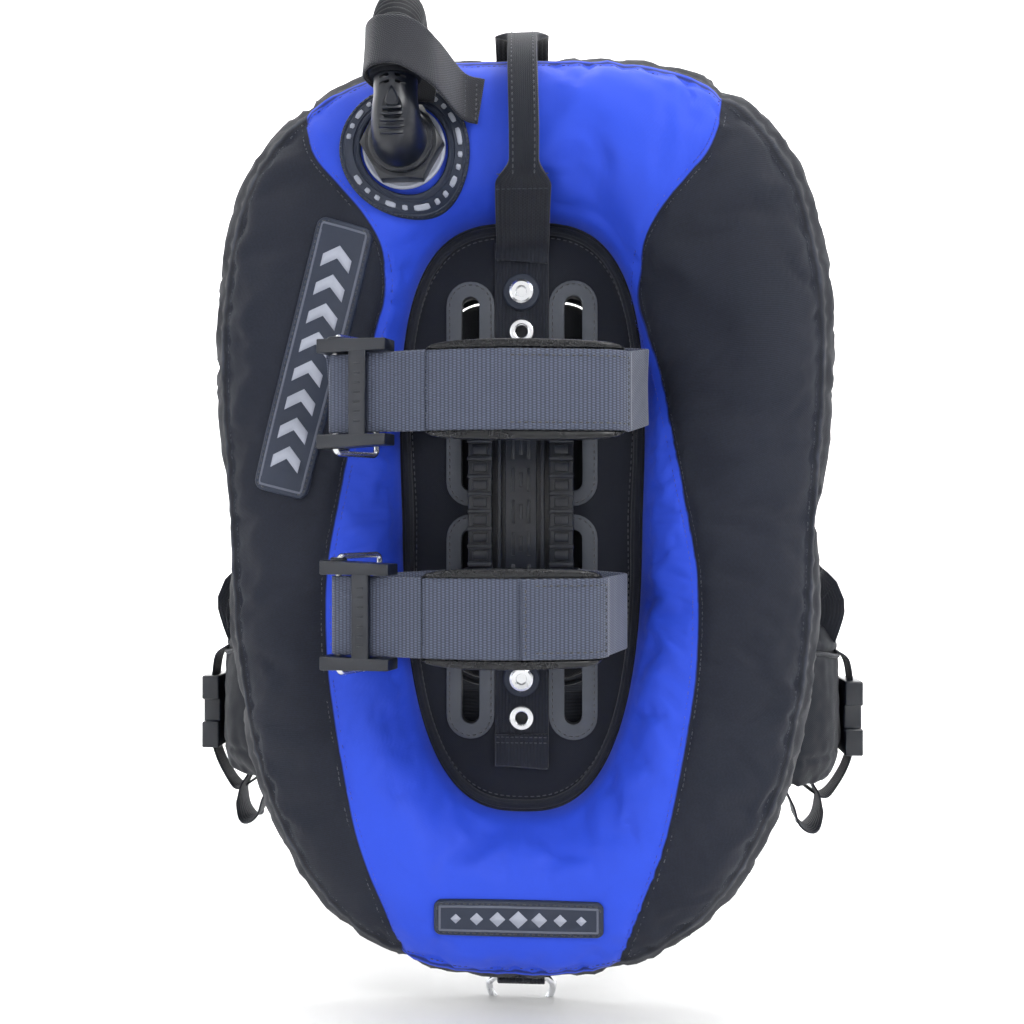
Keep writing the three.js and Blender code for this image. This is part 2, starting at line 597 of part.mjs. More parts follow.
// ---- the inflator's port, elbow and hose ----
const nutBack = flange.thickness + seat;
const nutFront = nutBack + nut.height;
const elbowFace = portFace - nutFront - seat;
const hoseStart = v3(port.x, elbowFace - elbow.stand, port.z + elbow.bend + elbow.rise + 2 * seat);
function inflation() {
  const { x, z } = port;
  const plug = turned([
    [0, -port.depth], [port.neck, -port.depth], [port.neck, 0], [port.flange, 0], [port.flange, flange.thickness],
    [0, flange.thickness],
  ], 24).translate(x, portFace, z);
  add("port_flange", plug, greyRubber);
  const hexagon = turned([
    [0, nutBack], [nut.acrossCorners / 2, nutBack], [nut.acrossCorners / 2, nutFront - 3],
    [nut.acrossCorners / 2 - 4, nutFront], [0, nutFront],
  ], 6).rotateY(Math.PI / 6).translate(x, portFace, z);
  add("hex_nut", hexagon, blackPlastic);

  const from = elbowFace;
  const bend = (extra, r) => sweep(rounded([
    [v3(x, from + extra, z), 0],
    [v3(x, from - elbow.stand, z), elbow.bend],
    [v3(x, from - elbow.stand, z + elbow.bend + elbow.rise + extra), 0],
  ], 6), v3(1, 0, 0), round(r, 14));
  const base = cylinder(elbow.base, 0, elbow.baseHeight, 20).translate(x, from, z);
  const bore = bend(1, elbow.radius - elbow.wall);
  add("inflator_elbow", cut(join(bend(0, elbow.radius), base), bore), blackPlastic);

  const s = hoseStart;
  const path = smooth([
    s.clone(),
    v3(s.x, s.y, s.z + 8),
    v3(s.x, s.y + 0.5, s.z + 20),
    v3(s.x - 1, s.y + 12, s.z + 38),
    v3(s.x - 3, s.y + 38, s.z + 57),
    v3(s.x - 6, s.y + 76, s.z + 62),
    v3(-85, 34, 311),
    v3(-88, 66, 297),
    v3(-94, 105, 276),
    v3(-97, 160, 250),
    v3(-98, 206, 208),
    v3(hose.endX, hose.endY - 6, 150),
    v3(hose.endX, hose.endY, 118),
    v3(hose.endX, hose.endY, hose.endZ),
  ], hose.steps);
  add("corrugated_hose", sweep(path, v3(1, 0, 0), round(hose.radius, hose.sides)), blackRubber);

  // The strap holds the hose: sewn on the cell, round the hose's outer side and back behind it.
  const sewn = frontUnder(-12, 262, hoseStrap.width / 2) - softGap - hoseStrap.thickness / 2;
  const hold = hose.radius + 1 + hoseStrap.thickness / 2;
  const strapPath = smooth([
    v3(-24, sewn, 256),
    v3(-34, sewn - 3, 258),
    v3(-52, s.y - hold + 8, 267),
    v3(s.x + 6, s.y - hold, 276),
    v3(s.x - 10, s.y - hold * 0.85, 277),
    v3(s.x - hold - 1, s.y + 3, 277),
    v3(s.x - 12, s.y + hold + 4, 274),
    v3(s.x + 6, s.y + hold + 10, 271),
    v3(s.x + 24, s.y + hold + 9, 269),
  ], 26);
  add("hose_strap", webbing(strapPath, v3(0, 0.3, 1), hoseStrap.width, hoseStrap.thickness), webbingBlack);

  const top = hose.endZ - seat;
  const [ix, iy, r] = [hose.endX, hose.endY, inflator.radius];
  const bodyShape = lathe([
    [0, 0], [r - 5, 0], [r, 6], [r, inflator.length - 14], [r + 1.5, inflator.length - 12],
    [r + 1.5, inflator.length], [0, inflator.length],
  ], 20).rotateX(Math.PI / 2).translate(ix, iy, top - inflator.length);
  const buttonHole = (depth) => new THREE.CylinderGeometry(button.radius + running, button.radius + running, depth, 16);
  const depthIn = button.length - button.proud + button.travel + running;
  const inflateZ = top - 30;
  const sideHole = buttonHole(2 * depthIn).rotateZ(Math.PI / 2).translate(ix - r, iy, inflateZ);
  const endHole = buttonHole(2 * depthIn).rotateX(Math.PI / 2).translate(ix, iy, top - inflator.length);
  add("inflator_body", cut(bodyShape, sideHole, endHole), blackPlastic);
  const cap = () => lathe([
    [0, 0], [button.radius, 0], [button.radius, button.length - 1.5], [button.radius - 1.5, button.length],
    [0, button.length],
  ], 16);
  const sunk = button.length - button.proud;
  add("inflate_button", cap().rotateZ(Math.PI / 2).translate(ix - r + sunk, iy, inflateZ), greyRubber);
  const lowEnd = top - inflator.length + sunk;
  add("deflate_button", cap().rotateX(-Math.PI / 2).translate(ix, iy, lowEnd), greyRubber);

  const mouth = lathe([
    [inflator.mouthBore, 2], [inflator.mouthRadius - 1, 0], [inflator.mouthRadius - 1, inflator.mouthLength - 12],
    [inflator.mouthRadius + 3, inflator.mouthLength - 8], [inflator.mouthRadius + 3, inflator.mouthLength],
    [inflator.mouthBore, inflator.mouthLength], [inflator.mouthBore, 2],
  ], 16);
  add("mouthpiece", mouth.translate(ix, iy + r + seat, top - inflator.length + inflator.mouthDrop), blackRubber);
}

function dumpValve() {
  const { x, z, flange: rim } = dump;
  const body = turned([
    [0, -rim], [dump.radius, -rim], [dump.radius, 0], [dump.neck, 0], [dump.neck, dump.depth], [0, dump.depth],
  ], 20).translate(x, dumpFace, z);
  add("dump_valve_body", body, blackPlastic);
  const back = -rim - seat;
  const cap = turned([
    [0, back - dump.capHeight], [dump.cap - 3, back - dump.capHeight], [dump.cap, back - dump.capHeight + 3],
    [dump.cap, back], [0, back],
  ], 20).translate(x, dumpFace, z);
  add("dump_valve_cap", cap, blackPlastic);
}

// ---- the bottom ring on its tab ----
function dRing(radius, wire) {
  const flatEnd = v3(radius - 4, 0, 0);
  const arc = Array.from({ length: 11 }, (_, i) => {
    const a = (i / 10) * Math.PI;
    return v3(radius * Math.cos(a), 0, -4 - (radius - 4) * Math.sin(a));
  });
  const path = [flatEnd.clone().negate(), v3(0, 0, 0), flatEnd, ...arc];
  return sweep(path, v3(0, 1, 0), round(wire, 8), true);
}

function bottomRing() {
  const y = 3;
  const geometry = dRing(ring.radius + 3, ring.wire).translate(0, y, ring.bottomZ);
  add("bottom_ring", geometry, steel);
  const r = ring.wire + running + ribbon.thickness / 2;
  const back = wing.bulgeDiver + 3;
  const overBelt = plateBack + band.behindPlate + ribbon.thickness + softGap;
  const loop = Array.from({ length: 9 }, (_, i) => {
    const a = THREE.MathUtils.degToRad(-10 - (i * 200) / 8);
    return v3(0, y + r * Math.cos(a), ring.bottomZ + r * Math.sin(a));
  });
  const path = [
    ...smooth([
      v3(0, overBelt, plate.bottom + 18),
      v3(0, overBelt, plate.bottom - 4),
      v3(0, back + 2, plate.bottom - 26),
      v3(0, back + 1.5, wingBottom + 50),
      v3(0, back - 5, wingBottom + 16),
      v3(0, y + r + 5, ring.bottomZ + 8),
    ], 12),
    ...loop,
  ];
  add("bottom_ring_tab", webbing(path, v3(1, 0, 0), 34, ribbon.thickness), webbingBlack);
}

// ---- the plate and pad on the diver's back ----
function backPieces() {
  const outline = roundedRect(-plate.width / 2, plate.width / 2, plate.bottom, plate.top, plate.corner);
  outline.holes = boltZ.map((z) => roundHole(z)).concat(slotHoles());
  add("backplate", plateXZ(outline, panelBack + plate.gap, plate.thickness), blackPlastic);
  const padFront = plateBack + 2 * band.behindPlate - 0.6 + backPad.gap;
  const half = backPad.width / 2;
  const pad = roundedRect(-half, half, backPad.bottom, backPad.top, backPad.corner);
  add("back_pad", plateXZ(pad, padFront, backPad.thickness), foam);
}

// ---- side-release buckles ----
// Lies along +X from the socket's tail to the plug's tail, +Y outwards, with the strap in the middle.
function socketShape(width) {
  const half = width / 2 + buckle.side;
  const depth = buckle.depth / 2;
  const body = box(-buckle.socket, 0, -depth, depth, -half, half);
  const mouthHalf = half - buckle.wall;
  const inside = depth - buckle.wall;
  const cavity = box(-buckle.cavity, 1, -inside, inside, -mouthHalf, mouthHalf);
  const window = box(-buckle.cavity + 3, -6, -inside + 0.5, inside - 0.5, -half - 1, half + 1);
  const slit = ribbon.thickness / 2 + running;
  const strapHole = box(-buckle.socket - 1, -buckle.socket + buckle.pocket, -slit, slit, -width / 2 - 1, width / 2 + 1);
  return cut(body, cavity, window, strapHole);
}
function plugShape(width) {
  const half = width / 2 + buckle.side;
  const depth = buckle.depth / 2;
  const slit = ribbon.thickness / 2 + running;
  const body = box(running, buckle.plug, -depth, depth, -half, half);
  const prongHalf = half - buckle.wall - running;
  const thick = depth - buckle.wall - running;
  const prong = (side) => box(-buckle.cavity + 2, 3, -thick, thick,
    side > 0 ? prongHalf - buckle.prong : -prongHalf, side > 0 ? prongHalf : -prongHalf + buckle.prong);
  const strapHole = box(-1, buckle.plug + 1, -slit, slit, -width / 2 - 0.8, width / 2 + 0.8);
  return cut(join(body, prong(1), prong(-1)), strapHole);
}
// Turns a buckle so that its length follows along and its face looks to outward.
function placed(geometry, at, along, outward) {
  const y = outward.clone().addScaledVector(along, -outward.dot(along)).normalize();
  const z = along.clone().cross(y);
  const matrix = new THREE.Matrix4().makeBasis(along, y, z).setPosition(at);
  return geometry.applyMatrix4(matrix);
}

// ---- the shoulder straps and the webbing below them ----
const mirrored = (points, sign) => points.map((p) => v3(sign * p.x, p.y, p.z));
const hip = v3(229, 78, -87);
const strapEnd = v3(106, 208, 62);
const down = hip.clone().sub(strapEnd).normalize();
const strapAcross = down.clone().cross(v3(0.55, 0.7, 0)).normalize().negate();
const strapOut = strapAcross.clone().cross(down).normalize();
const ringPlace = hip.clone().addScaledVector(down, -42);
const shoulderRoute = [
  v3(43, 38, backPad.top + softGap), v3(46, 42, 176), v3(57, 66, 208), v3(76, 104, 228), v3(92, 150, 211),
  v3(99, 184, 170),
  v3(101, 201, 122), v3(102, 208, 90), strapEnd,
];
function harnessSide(name, sign) {
  const [along, outward, acrossEnd] = mirrored([down, strapOut, strapAcross], sign);
  const across = (t) => {
    const lean = Math.max(0, (t - 0.7) / 0.3);
    return v3(1, 0, 0).lerp(acrossEnd.clone().multiplyScalar(Math.sign(acrossEnd.x)), lean).normalize();
  };
  const route = smooth(mirrored(shoulderRoute, sign), 22);
  const padded = sweep(route, across, (t) => {
    const taper = Math.min(1, 0.72 + 3 * Math.min(t, 1 - t));
    return cushion(shoulder.width * taper, shoulder.thickness);
  });
  const socketTail = strapEnd.clone().addScaledVector(down, shoulder.tongue);
  const tongue = mirrored([
    strapEnd.clone().addScaledVector(down, -3),
    strapEnd.clone().addScaledVector(down, 6),
    socketTail,
  ], sign);
  const strap = join(padded, webbing(tongue, acrossEnd, lower.width, ribbon.thickness));
  add(`shoulder_pad_${name}`, strap, foam);

  const mouth = strapEnd.clone().addScaledVector(down, shoulder.tongue - buckle.pocket + 0.5 + buckle.socket);
  const [mouthAt] = mirrored([mouth], sign);
  add(`shoulder_socket_${name}`, placed(socketShape(lower.width), mouthAt, along, outward), blackPlastic);
  add(`shoulder_plug_${name}`, placed(plugShape(lower.width), mouthAt, along, outward), blackPlastic);
  const from = mouth.clone().addScaledVector(down, 0.8);
  const beforeHip = (d) => hip.clone().addScaledVector(down, -d);
  const path = mirrored([from, beforeHip(60), beforeHip(10), hip], sign);
  let lowerStrap = webbing(path, acrossEnd, lower.width, ribbon.thickness);
  if (sign < 0) {
    const [keeperAt] = mirrored([ringPlace], sign);
    const rise = ribbon.thickness + seat + 2 * ring.wire + seat;
    const reach = ring.wire + ribbon.thickness + 1;
    const at = (d, h) => keeperAt.clone().addScaledVector(along, d).addScaledVector(outward, h);
    const keeper = [at(-reach - 7, 0), at(-reach, rise), at(reach, rise), at(reach + 7, 0)];
    lowerStrap = join(lowerStrap, webbing(keeper, acrossEnd, lower.width, ribbon.thickness));
  }
  add(`lower_webbing_${name}`, lowerStrap, webbingBlack);
}

// ---- the chest strap ----
function chestStrap() {
  const { y, z, reach, padX, drop } = chest;
  const outY = y + chest.rise;
  const mouth = v3(-4, outY, z);
  const socketTail = mouth.x - buckle.socket;
  const left = [v3(-reach, y - drop, z), v3(-padX, y, z), v3(socketTail - 8, outY, z),
    v3(socketTail + buckle.pocket - 0.5, outY, z)];
  const right = [v3(mouth.x + 0.8, outY, z), v3(60, outY, z), v3(padX, y, z), v3(reach, y - drop, z)];
  add("chest_strap_left", webbing(left, upZ, chest.width, ribbon.thickness), webbingBlack);
  add("chest_strap_right", webbing(right, upZ, chest.width, ribbon.thickness), webbingBlack);
  add("chest_socket", placed(socketShape(chest.width), mouth, v3(1, 0, 0), v3(0, 1, 0)), blackPlastic);
  add("chest_plug", placed(plugShape(chest.width), mouth, v3(1, 0, 0), v3(0, 1, 0)), blackPlastic);
}

// ---- the waist belt with its buckle, and the pockets on it ----
const waistHalf = [
  v3(0, plateBack + band.behindPlate, waist.z), v3(30, plateBack + band.behindPlate, waist.z),
  v3(62, 32, waist.z), v3(104, 40, waist.z), v3(158, 48, waist.z), v3(193, 72, waist.z), v3(waist.side, 116, waist.z),
  v3(199, 164, waist.z), v3(170, 214, waist.z), v3(118, 250, waist.z), v3(74, waist.front, waist.z),
];
const waistSide = smooth(waistHalf.slice(1), 24);
function waistBelt() {
  const mouth = v3(-8, waist.front, waist.z);
  const socketTail = mouth.x - buckle.socket;
  const rightEnd = [v3(mouth.x + 0.8, waist.front, waist.z), v3(40, waist.front, waist.z)];
  const leftEnd = [v3(-60, waist.front, waist.z), v3(socketTail + buckle.pocket - 0.5, waist.front, waist.z)];
  const path = [
    ...leftEnd.reverse(),
    ...mirrored(waistSide, -1).reverse(),
    ...waistSide,
    ...rightEnd.reverse(),
  ];
  add("waist_belt", webbing(path, upZ, waist.width, ribbon.thickness), webbingBlack);
  add("waist_socket", placed(socketShape(waist.width), mouth, v3(1, 0, 0), v3(0, 1, 0)), blackPlastic);
  add("waist_plug", placed(plugShape(waist.width), mouth, v3(1, 0, 0), v3(0, 1, 0)), blackPlastic);
}

function hipPocket(name, sign) {
  const gap = ribbon.thickness / 2 + softGap;
  const route = mirrored(waistSide.filter((p) => p.x > pocket.innerX && p.y < pocket.frontY), sign);
  const z = pocket.z - waist.z;
  const shape = (t) => {
    const swell = Math.sin(Math.PI * Math.min(Math.max(t, 0.04), 0.96)) ** 0.6;
    const thick = 6 + (pocket.thickness - 6) * swell;
    const half = (pocket.height / 2) * (0.62 + 0.38 * swell);
    const [near, farSide] = [sign * gap, sign * (gap + thick)];
    const middle = sign * (gap + thick * 0.8);
    return [
      [near, z - half * 0.86], [middle, z - half], [farSide, z - half * 0.6], [farSide, z + half * 0.55],
      [middle, z + half * 0.9], [near, z + half],
    ];
  };
  add(`hip_pocket_${name}`, sweep(route, upZ, shape), blackCloth);

  const { x, y, z: buckleZ, height, width, depth, prongGap, prongLow, prongHigh } = pocketBuckle;
  const shell = box(-depth / 2, depth / 2, -width / 2, width / 2, -height / 2, height / 2);
  const notch = (from, to) => box(-depth, depth, from, to, prongLow, prongHigh);
  const notches = [notch(-width, prongGap - width / 2), notch(width / 2 - prongGap, width)];
  add(`pocket_buckle_${name}`, cut(shell, ...notches).translate(sign * x, y, buckleZ), blackPlastic);
}

function hipRing() {
  const geometry = dRing(ring.radius + 4, ring.wire);
  const [along, outward, across] = mirrored([down, strapOut, strapAcross], -1);
  const gap = ring.wire + ribbon.thickness / 2 + seat;
  const x = across.clone().multiplyScalar(Math.sign(across.x));
  const z = along.clone().negate();
  const matrix = new THREE.Matrix4().makeBasis(x, z.clone().cross(x), z);
  const [place] = mirrored([ringPlace], -1);
  place.addScaledVector(outward, gap);
  add("hip_ring", geometry.applyMatrix4(matrix.setPosition(place)), steel);
}

airCell();
cellPatches();
middlePanel();
middleStrip();
tankSupport();
bands.forEach(tankBand);
carryHandle();
inflation();
dumpValve();
bottomRing();
backPieces();
harnessSide("left", -1);
harnessSide("right", 1);
chestStrap();
waistBelt();
hipPocket("left", -1);
hipPocket("right", 1);
hipRing();

export default vest;
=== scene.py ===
import math
import bmesh
import bpy
from mathutils import Matrix, Vector, noise


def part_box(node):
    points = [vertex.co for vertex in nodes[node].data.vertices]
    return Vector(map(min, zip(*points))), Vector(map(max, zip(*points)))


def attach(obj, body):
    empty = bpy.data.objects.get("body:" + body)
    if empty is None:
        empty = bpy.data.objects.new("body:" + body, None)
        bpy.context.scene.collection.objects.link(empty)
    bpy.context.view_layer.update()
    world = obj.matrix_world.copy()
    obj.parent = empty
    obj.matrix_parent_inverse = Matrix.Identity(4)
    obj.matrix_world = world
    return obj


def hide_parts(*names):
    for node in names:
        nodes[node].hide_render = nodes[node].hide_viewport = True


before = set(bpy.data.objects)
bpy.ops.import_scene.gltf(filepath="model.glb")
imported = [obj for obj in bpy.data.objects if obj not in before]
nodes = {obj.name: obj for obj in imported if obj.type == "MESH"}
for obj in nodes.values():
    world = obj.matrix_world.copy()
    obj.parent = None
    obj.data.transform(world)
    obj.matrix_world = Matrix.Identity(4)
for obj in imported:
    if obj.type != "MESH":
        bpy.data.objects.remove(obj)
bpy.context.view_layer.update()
mm = 0.001
up = Vector((0, 0, 1))
sideways = Vector((1, 0, 0))
print("frame loaded:", len(nodes), "nodes")


# small helpers for every piece
def clearSelection():
    if bpy.context.mode != "OBJECT":
        bpy.ops.object.mode_set(mode="OBJECT")
    bpy.ops.object.select_all(action="DESELECT")


def choose(piece):
    clearSelection()
    piece.select_set(True)
    bpy.context.view_layer.objects.active = piece
    return piece


def started(name):
    # the primitive that was just added, with its place moved into its mesh
    piece = bpy.context.object
    piece.name = name
    piece.data.name = name
    bpy.ops.object.transform_apply(location=True, rotation=True, scale=True)
    return piece


def point(x, y, z):
    return Vector((x, y, z)) * mm


def block(name, low, high):
    clearSelection()
    low, high = point(*low), point(*high)
    bpy.ops.mesh.primitive_cube_add(size=1, location=(low + high) / 2, scale=high - low)
    return started(name)


def applied(piece, kind, **settings):
    choose(piece)
    modifier = piece.modifiers.new(kind.lower(), kind)
    for key, value in settings.items():
        setattr(modifier, key, value)
    bpy.ops.object.modifier_apply(modifier=modifier.name)
    return piece


def softened(piece, width, segments=2, angle=35):
    # rounded edges, and smooth shading that keeps the real corners
    applied(piece, "BEVEL", width=width * mm, segments=segments, limit_method="ANGLE", angle_limit=math.radians(angle),
            harden_normals=False, use_clamp_overlap=True)
    return smoothed(piece, angle)


def smoothed(piece, angle=35):
    choose(piece)
    bpy.ops.object.shade_smooth_by_angle(angle=math.radians(angle))
    return piece


def carved(piece, *tools, operation="DIFFERENCE"):
    for tool in tools:
        applied(piece, "BOOLEAN", operation=operation, object=tool, solver="EXACT")
        bpy.data.objects.remove(tool)
    return piece


def together(name, pieces):
    clearSelection()
    for piece in pieces:
        piece.select_set(True)
    bpy.context.view_layer.objects.active = pieces[0]
    if len(pieces) > 1:
        bpy.ops.object.join()
    pieces[0].name = name
    return pieces[0]


def moved(piece, turn=None, by=(0, 0, 0), about=(0, 0, 0)):
    # turn is (degrees, axis letter), about and by are in millimetres
    matrix = Matrix.Translation(point(*by))
    if turn:
        centre = Matrix.Translation(point(*about))
        matrix = matrix @ centre @ Matrix.Rotation(math.radians(turn[0]), 4, turn[1]) @ centre.inverted()
    piece.data.transform(matrix)
    return piece


def twin(piece, name):
    copied = piece.copy()
    copied.data = piece.data.copy()
    copied.name = name
    bpy.context.scene.collection.objects.link(copied)
    return copied


def copyOfNode(node, name):
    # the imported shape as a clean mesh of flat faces, ready to be shaped further
    clearSelection()
    piece = twin(nodes[node], name)
    for key in list(piece.keys()):
        del piece[key]
    piece.parent = None
    piece.hide_render = piece.hide_viewport = False
    piece.data.materials.clear()
    if "custom_normal" in piece.data.attributes:
        piece.data.attributes.remove(piece.data.attributes["custom_normal"])
    choose(piece)
    bpy.ops.object.mode_set(mode="EDIT")
    bpy.ops.mesh.select_all(action="SELECT")
    bpy.ops.mesh.remove_doubles(threshold=0.00002)
    bpy.ops.mesh.dissolve_limited(angle_limit=math.radians(1.0))
    bpy.ops.object.mode_set(mode="OBJECT")
    return piece


def lathed(name, profile, centre, axis="Y", steps=48, turn=0):
    # a line of points, each a radius and a height in millimetres, spun about an axis.
    # About Y the heights run towards the tank
    along = {"X": Vector((1, 0, 0)), "Y": Vector((0, -1, 0)), "Z": Vector((0, 0, 1))}[axis]
    out = {"X": Vector((0, 1, 0)), "Y": Vector((1, 0, 0)), "Z": Vector((1, 0, 0))}[axis]
    out = Matrix.Rotation(math.radians(turn), 3, along) @ out
    clearSelection()
    spot = point(*centre)
    places = [spot + (out * r + along * h) * mm for r, h in profile]
    bpy.ops.mesh.primitive_plane_add(size=0.001, location=places[0])
    piece = started(name)
    bpy.ops.object.mode_set(mode="EDIT")
    bpy.ops.mesh.select_all(action="SELECT")
    bpy.ops.mesh.merge(type="CENTER")
    for before, after in zip(places, places[1:]):
        bpy.ops.mesh.extrude_region_move(TRANSFORM_OT_translate={"value": after - before})
    bpy.ops.mesh.select_all(action="SELECT")
    bpy.ops.mesh.spin(steps=steps, angle=2 * math.pi, center=spot, axis=along)
    bpy.ops.mesh.select_all(action="SELECT")
    bpy.ops.mesh.remove_doubles(threshold=0.00001)
    bpy.ops.mesh.dissolve_degenerate(threshold=0.000005)
    bpy.ops.mesh.normals_make_consistent(inside=False)
    bpy.ops.object.mode_set(mode="OBJECT")
    return smoothed(piece, 32)


def madeMesh(name, points, faces, facesUvs=None):
    data = bpy.data.meshes.new(name)
    data.from_pydata([tuple(p) for p in points], [], faces)
    if facesUvs:
        layer = data.uv_layers.new(name="pattern")
        flat = [value for face in facesUvs for corner in face for value in corner]
        layer.data.foreach_set("uv", flat)
    piece = bpy.data.objects.new(name, data)
    bpy.context.scene.collection.objects.link(piece)
    data.polygons.foreach_set("use_smooth", [True] * len(data.polygons))
    data.update()
    return piece


def outward(piece):
    choose(piece)
    bpy.ops.object.mode_set(mode="EDIT")
    bpy.ops.mesh.select_all(action="SELECT")
    bpy.ops.mesh.normals_make_consistent(inside=False)
    bpy.ops.object.mode_set(mode="OBJECT")
    return piece


def noiseAt(x, y, z=0.0, size=1.0):
    return noise.noise(Vector((x / size, y / size, z / size)))


def solved(piece, sewn, quality, mass, stiffness, bending, shrink, shear=None, pressure=4, steps=20):
    # lets the cloth solver blow the piece up against its sewn vertices, and gives where each vertex goes
    choose(piece)
    cloth = piece.modifiers.new("cloth", "CLOTH")
    cloth.settings.quality = quality
    cloth.settings.mass = mass
    cloth.settings.tension_stiffness = cloth.settings.compression_stiffness = stiffness
    if shear:
        cloth.settings.shear_stiffness = shear
    cloth.settings.bending_stiffness = bending
    cloth.settings.shrink_min = shrink
    cloth.settings.use_pressure = True
    cloth.settings.uniform_pressure_force = pressure
    cloth.settings.vertex_group_mass = sewn
    cloth.settings.effector_weights.gravity = 0
    cloth.collision_settings.use_collision = False
    cloth.point_cache.frame_start, cloth.point_cache.frame_end = 1, steps
    for step in range(1, steps + 1):
        bpy.context.scene.frame_set(step)
    blown = piece.evaluated_get(bpy.context.evaluated_depsgraph_get())
    after = [v.co.copy() for v in blown.to_mesh().vertices]
    blown.to_mesh_clear()
    piece.modifiers.remove(cloth)
    bpy.context.scene.frame_set(1)
    return after


def heldBack(after, rest, room):
    # each vertex's move, never longer than room
    moves = []
    for a, b in zip(after, rest):
        step = a - b
        size = step.length
        moves.append(step * (room * math.tanh(size / room) / size) if size > 0 else step)
    return moves


# lines in space, in millimetres
def curveThrough(points, steps):
    # a smooth line through the points, evenly spaced
    p = [Vector(q) for q in points]
    p = [p[0] * 2 - p[1]] + p + [p[-1] * 2 - p[-2]]
    dense = []
    for i in range(1, len(p) - 2):
        a, b, c, d = p[i - 1:i + 3]
        gaps = [max((q - r).length, 1e-4) ** 0.5 for q, r in ((b, a), (c, b), (d, c))]
        t0, t1 = 0.0, gaps[0]
        t2 = t1 + gaps[1]
        t3 = t2 + gaps[2]
        for s in range(24):
            t = t1 + (t2 - t1) * s / 24
            ab = a * ((t1 - t) / (t1 - t0)) + b * ((t - t0) / (t1 - t0))
            bc = b * ((t2 - t) / (t2 - t1)) + c * ((t - t1) / (t2 - t1))
            cd = c * ((t3 - t) / (t3 - t2)) + d * ((t - t2) / (t3 - t2))
            first = ab * ((t2 - t) / (t2 - t0)) + bc * ((t - t0) / (t2 - t0))
            second = bc * ((t3 - t) / (t3 - t1)) + cd * ((t - t1) / (t3 - t1))
            dense.append(first * ((t2 - t) / (t2 - t1)) + second * ((t - t1) / (t2 - t1)))
    dense.append(p[-2])
    return evenly(dense, steps)


def evenly(points, steps):
    lengths = [0.0]
    for a, b in zip(points, points[1:]):
        lengths.append(lengths[-1] + (b - a).length)
    out, k = [], 0
    for i in range(steps + 1):
        goal = lengths[-1] * i / steps
        while k < len(points) - 2 and lengths[k + 1] < goal:
            k += 1
        share = (goal - lengths[k]) / max(lengths[k + 1] - lengths[k], 1e-9)
        out.append(points[k].lerp(points[k + 1], min(max(share, 0), 1)))
    return out


def roundCorners(corners, arcSteps=8):
    out = [Vector(corners[0][0])]
    for (before, _), (corner, radius), (after, _) in zip(corners, corners[1:], corners[2:]):
        corner = Vector(corner)
        back, on = (Vector(before) - corner).normalized(), (Vector(after) - corner).normalized()
        half = back.angle(on) / 2
        reach = radius / math.tan(half)
        centre = corner + (back + on).normalized() * (radius / math.sin(half))
        start, end = corner + back * reach - centre, corner + on * reach - centre
        turn = start.angle(end)
        for s in range(arcSteps + 1):
            t = s / arcSteps
            out.append(centre + start * (math.sin((1 - t) * turn) / math.sin(turn))
                       + end * (math.sin(t * turn) / math.sin(turn)))
    out.append(Vector(corners[-1][0]))
    return out


def swept(name, path, across, section, loop=False, capped=True):
    # a section carried along a path, all in millimetres.
    # The UV map is in metres: across the section, then along the path
    n = len(path)
    rings, reach, travelled = [], [], 0.0
    for i, here in enumerate(path):
        before = path[(i - 1) % n] if loop else path[max(i - 1, 0)]
        after = path[(i + 1) % n] if loop else path[min(i + 1, n - 1)]
        into, out = here - before, after - here
        if i:
            travelled += into.length
        into = into.normalized() if into.length > 1e-6 else out.normalized()
        out = out.normalized() if out.length > 1e-6 else into
        along = (into + out).normalized()
        t = i / (n - 1)
        width = across(t) if callable(across) else across
        side = along.cross(width).normalized()
        rise = side.cross(along).normalized()
        stretch = 1 / max(math.cos(into.angle(out) / 2), 0.3) if into.angle(out) > 1e-4 else 1
        rings.append([here + side * (s * stretch) + rise * u for s, u in section(t)])
        reach.append(travelled)
    if loop:
        reach.append(travelled + (path[0] - path[-1]).length)
    m = len(rings[0])
    girth = [0.0]
    for a, b in zip(rings[n // 2], rings[n // 2][1:] + rings[n // 2][:1]):
        girth.append(girth[-1] + (b - a).length)
    faces, uvs = [], []
    for i in range(n if loop else n - 1):
        k = (i + 1) % n
        for j in range(m):
            l = (j + 1) % m
            faces.append((i * m + j, k * m + j, k * m + l, i * m + l))
            uvs.append([(girth[j] * mm, reach[i] * mm), (girth[j] * mm, reach[i + 1] * mm),
                        (girth[j + 1] * mm, reach[i + 1] * mm), (girth[j + 1] * mm, reach[i] * mm)])
    if not loop and capped:
        for start, order in ((0, range(m)), ((n - 1) * m, range(m - 1, -1, -1))):
            faces.append(tuple(start + j for j in order))
            uvs.append([(girth[j] * mm, reach[0 if start == 0 else -1] * mm) for j in order])
    piece = madeMesh(name, [p * mm for ring in rings for p in ring], faces, facesUvs=uvs)
    outward(piece)
    return piece


def tapeSection(width, thickness, columns=6, crown=0.0):
    # a strip of webbing with rounded edges. It starts at the middle of one edge
    w, t = width / 2, thickness / 2

    def at(_):
        edge = [(t * math.sin(a), -w + t * 0.9 - t * 0.9 * math.cos(a)) for a in (0, math.pi / 4)]
        face = [(t + crown * (1 - (2 * (k + 1) / (columns + 1) - 1) ** 2),
                 -w + t + (width - 2 * t) * (k + 1) / (columns + 1)) for k in range(columns)]
        half = edge + [(t, -w + t)] + face + [(t, w - t), (t * 0.7, w - t * 0.3)]
        return half + [(-s, -u) for s, u in half]
    return at


def tape(name, path, across, width, thickness=1.8, columns=6, crown=0.0):
    return swept(name, path, across, tapeSection(width, thickness, columns, crown))


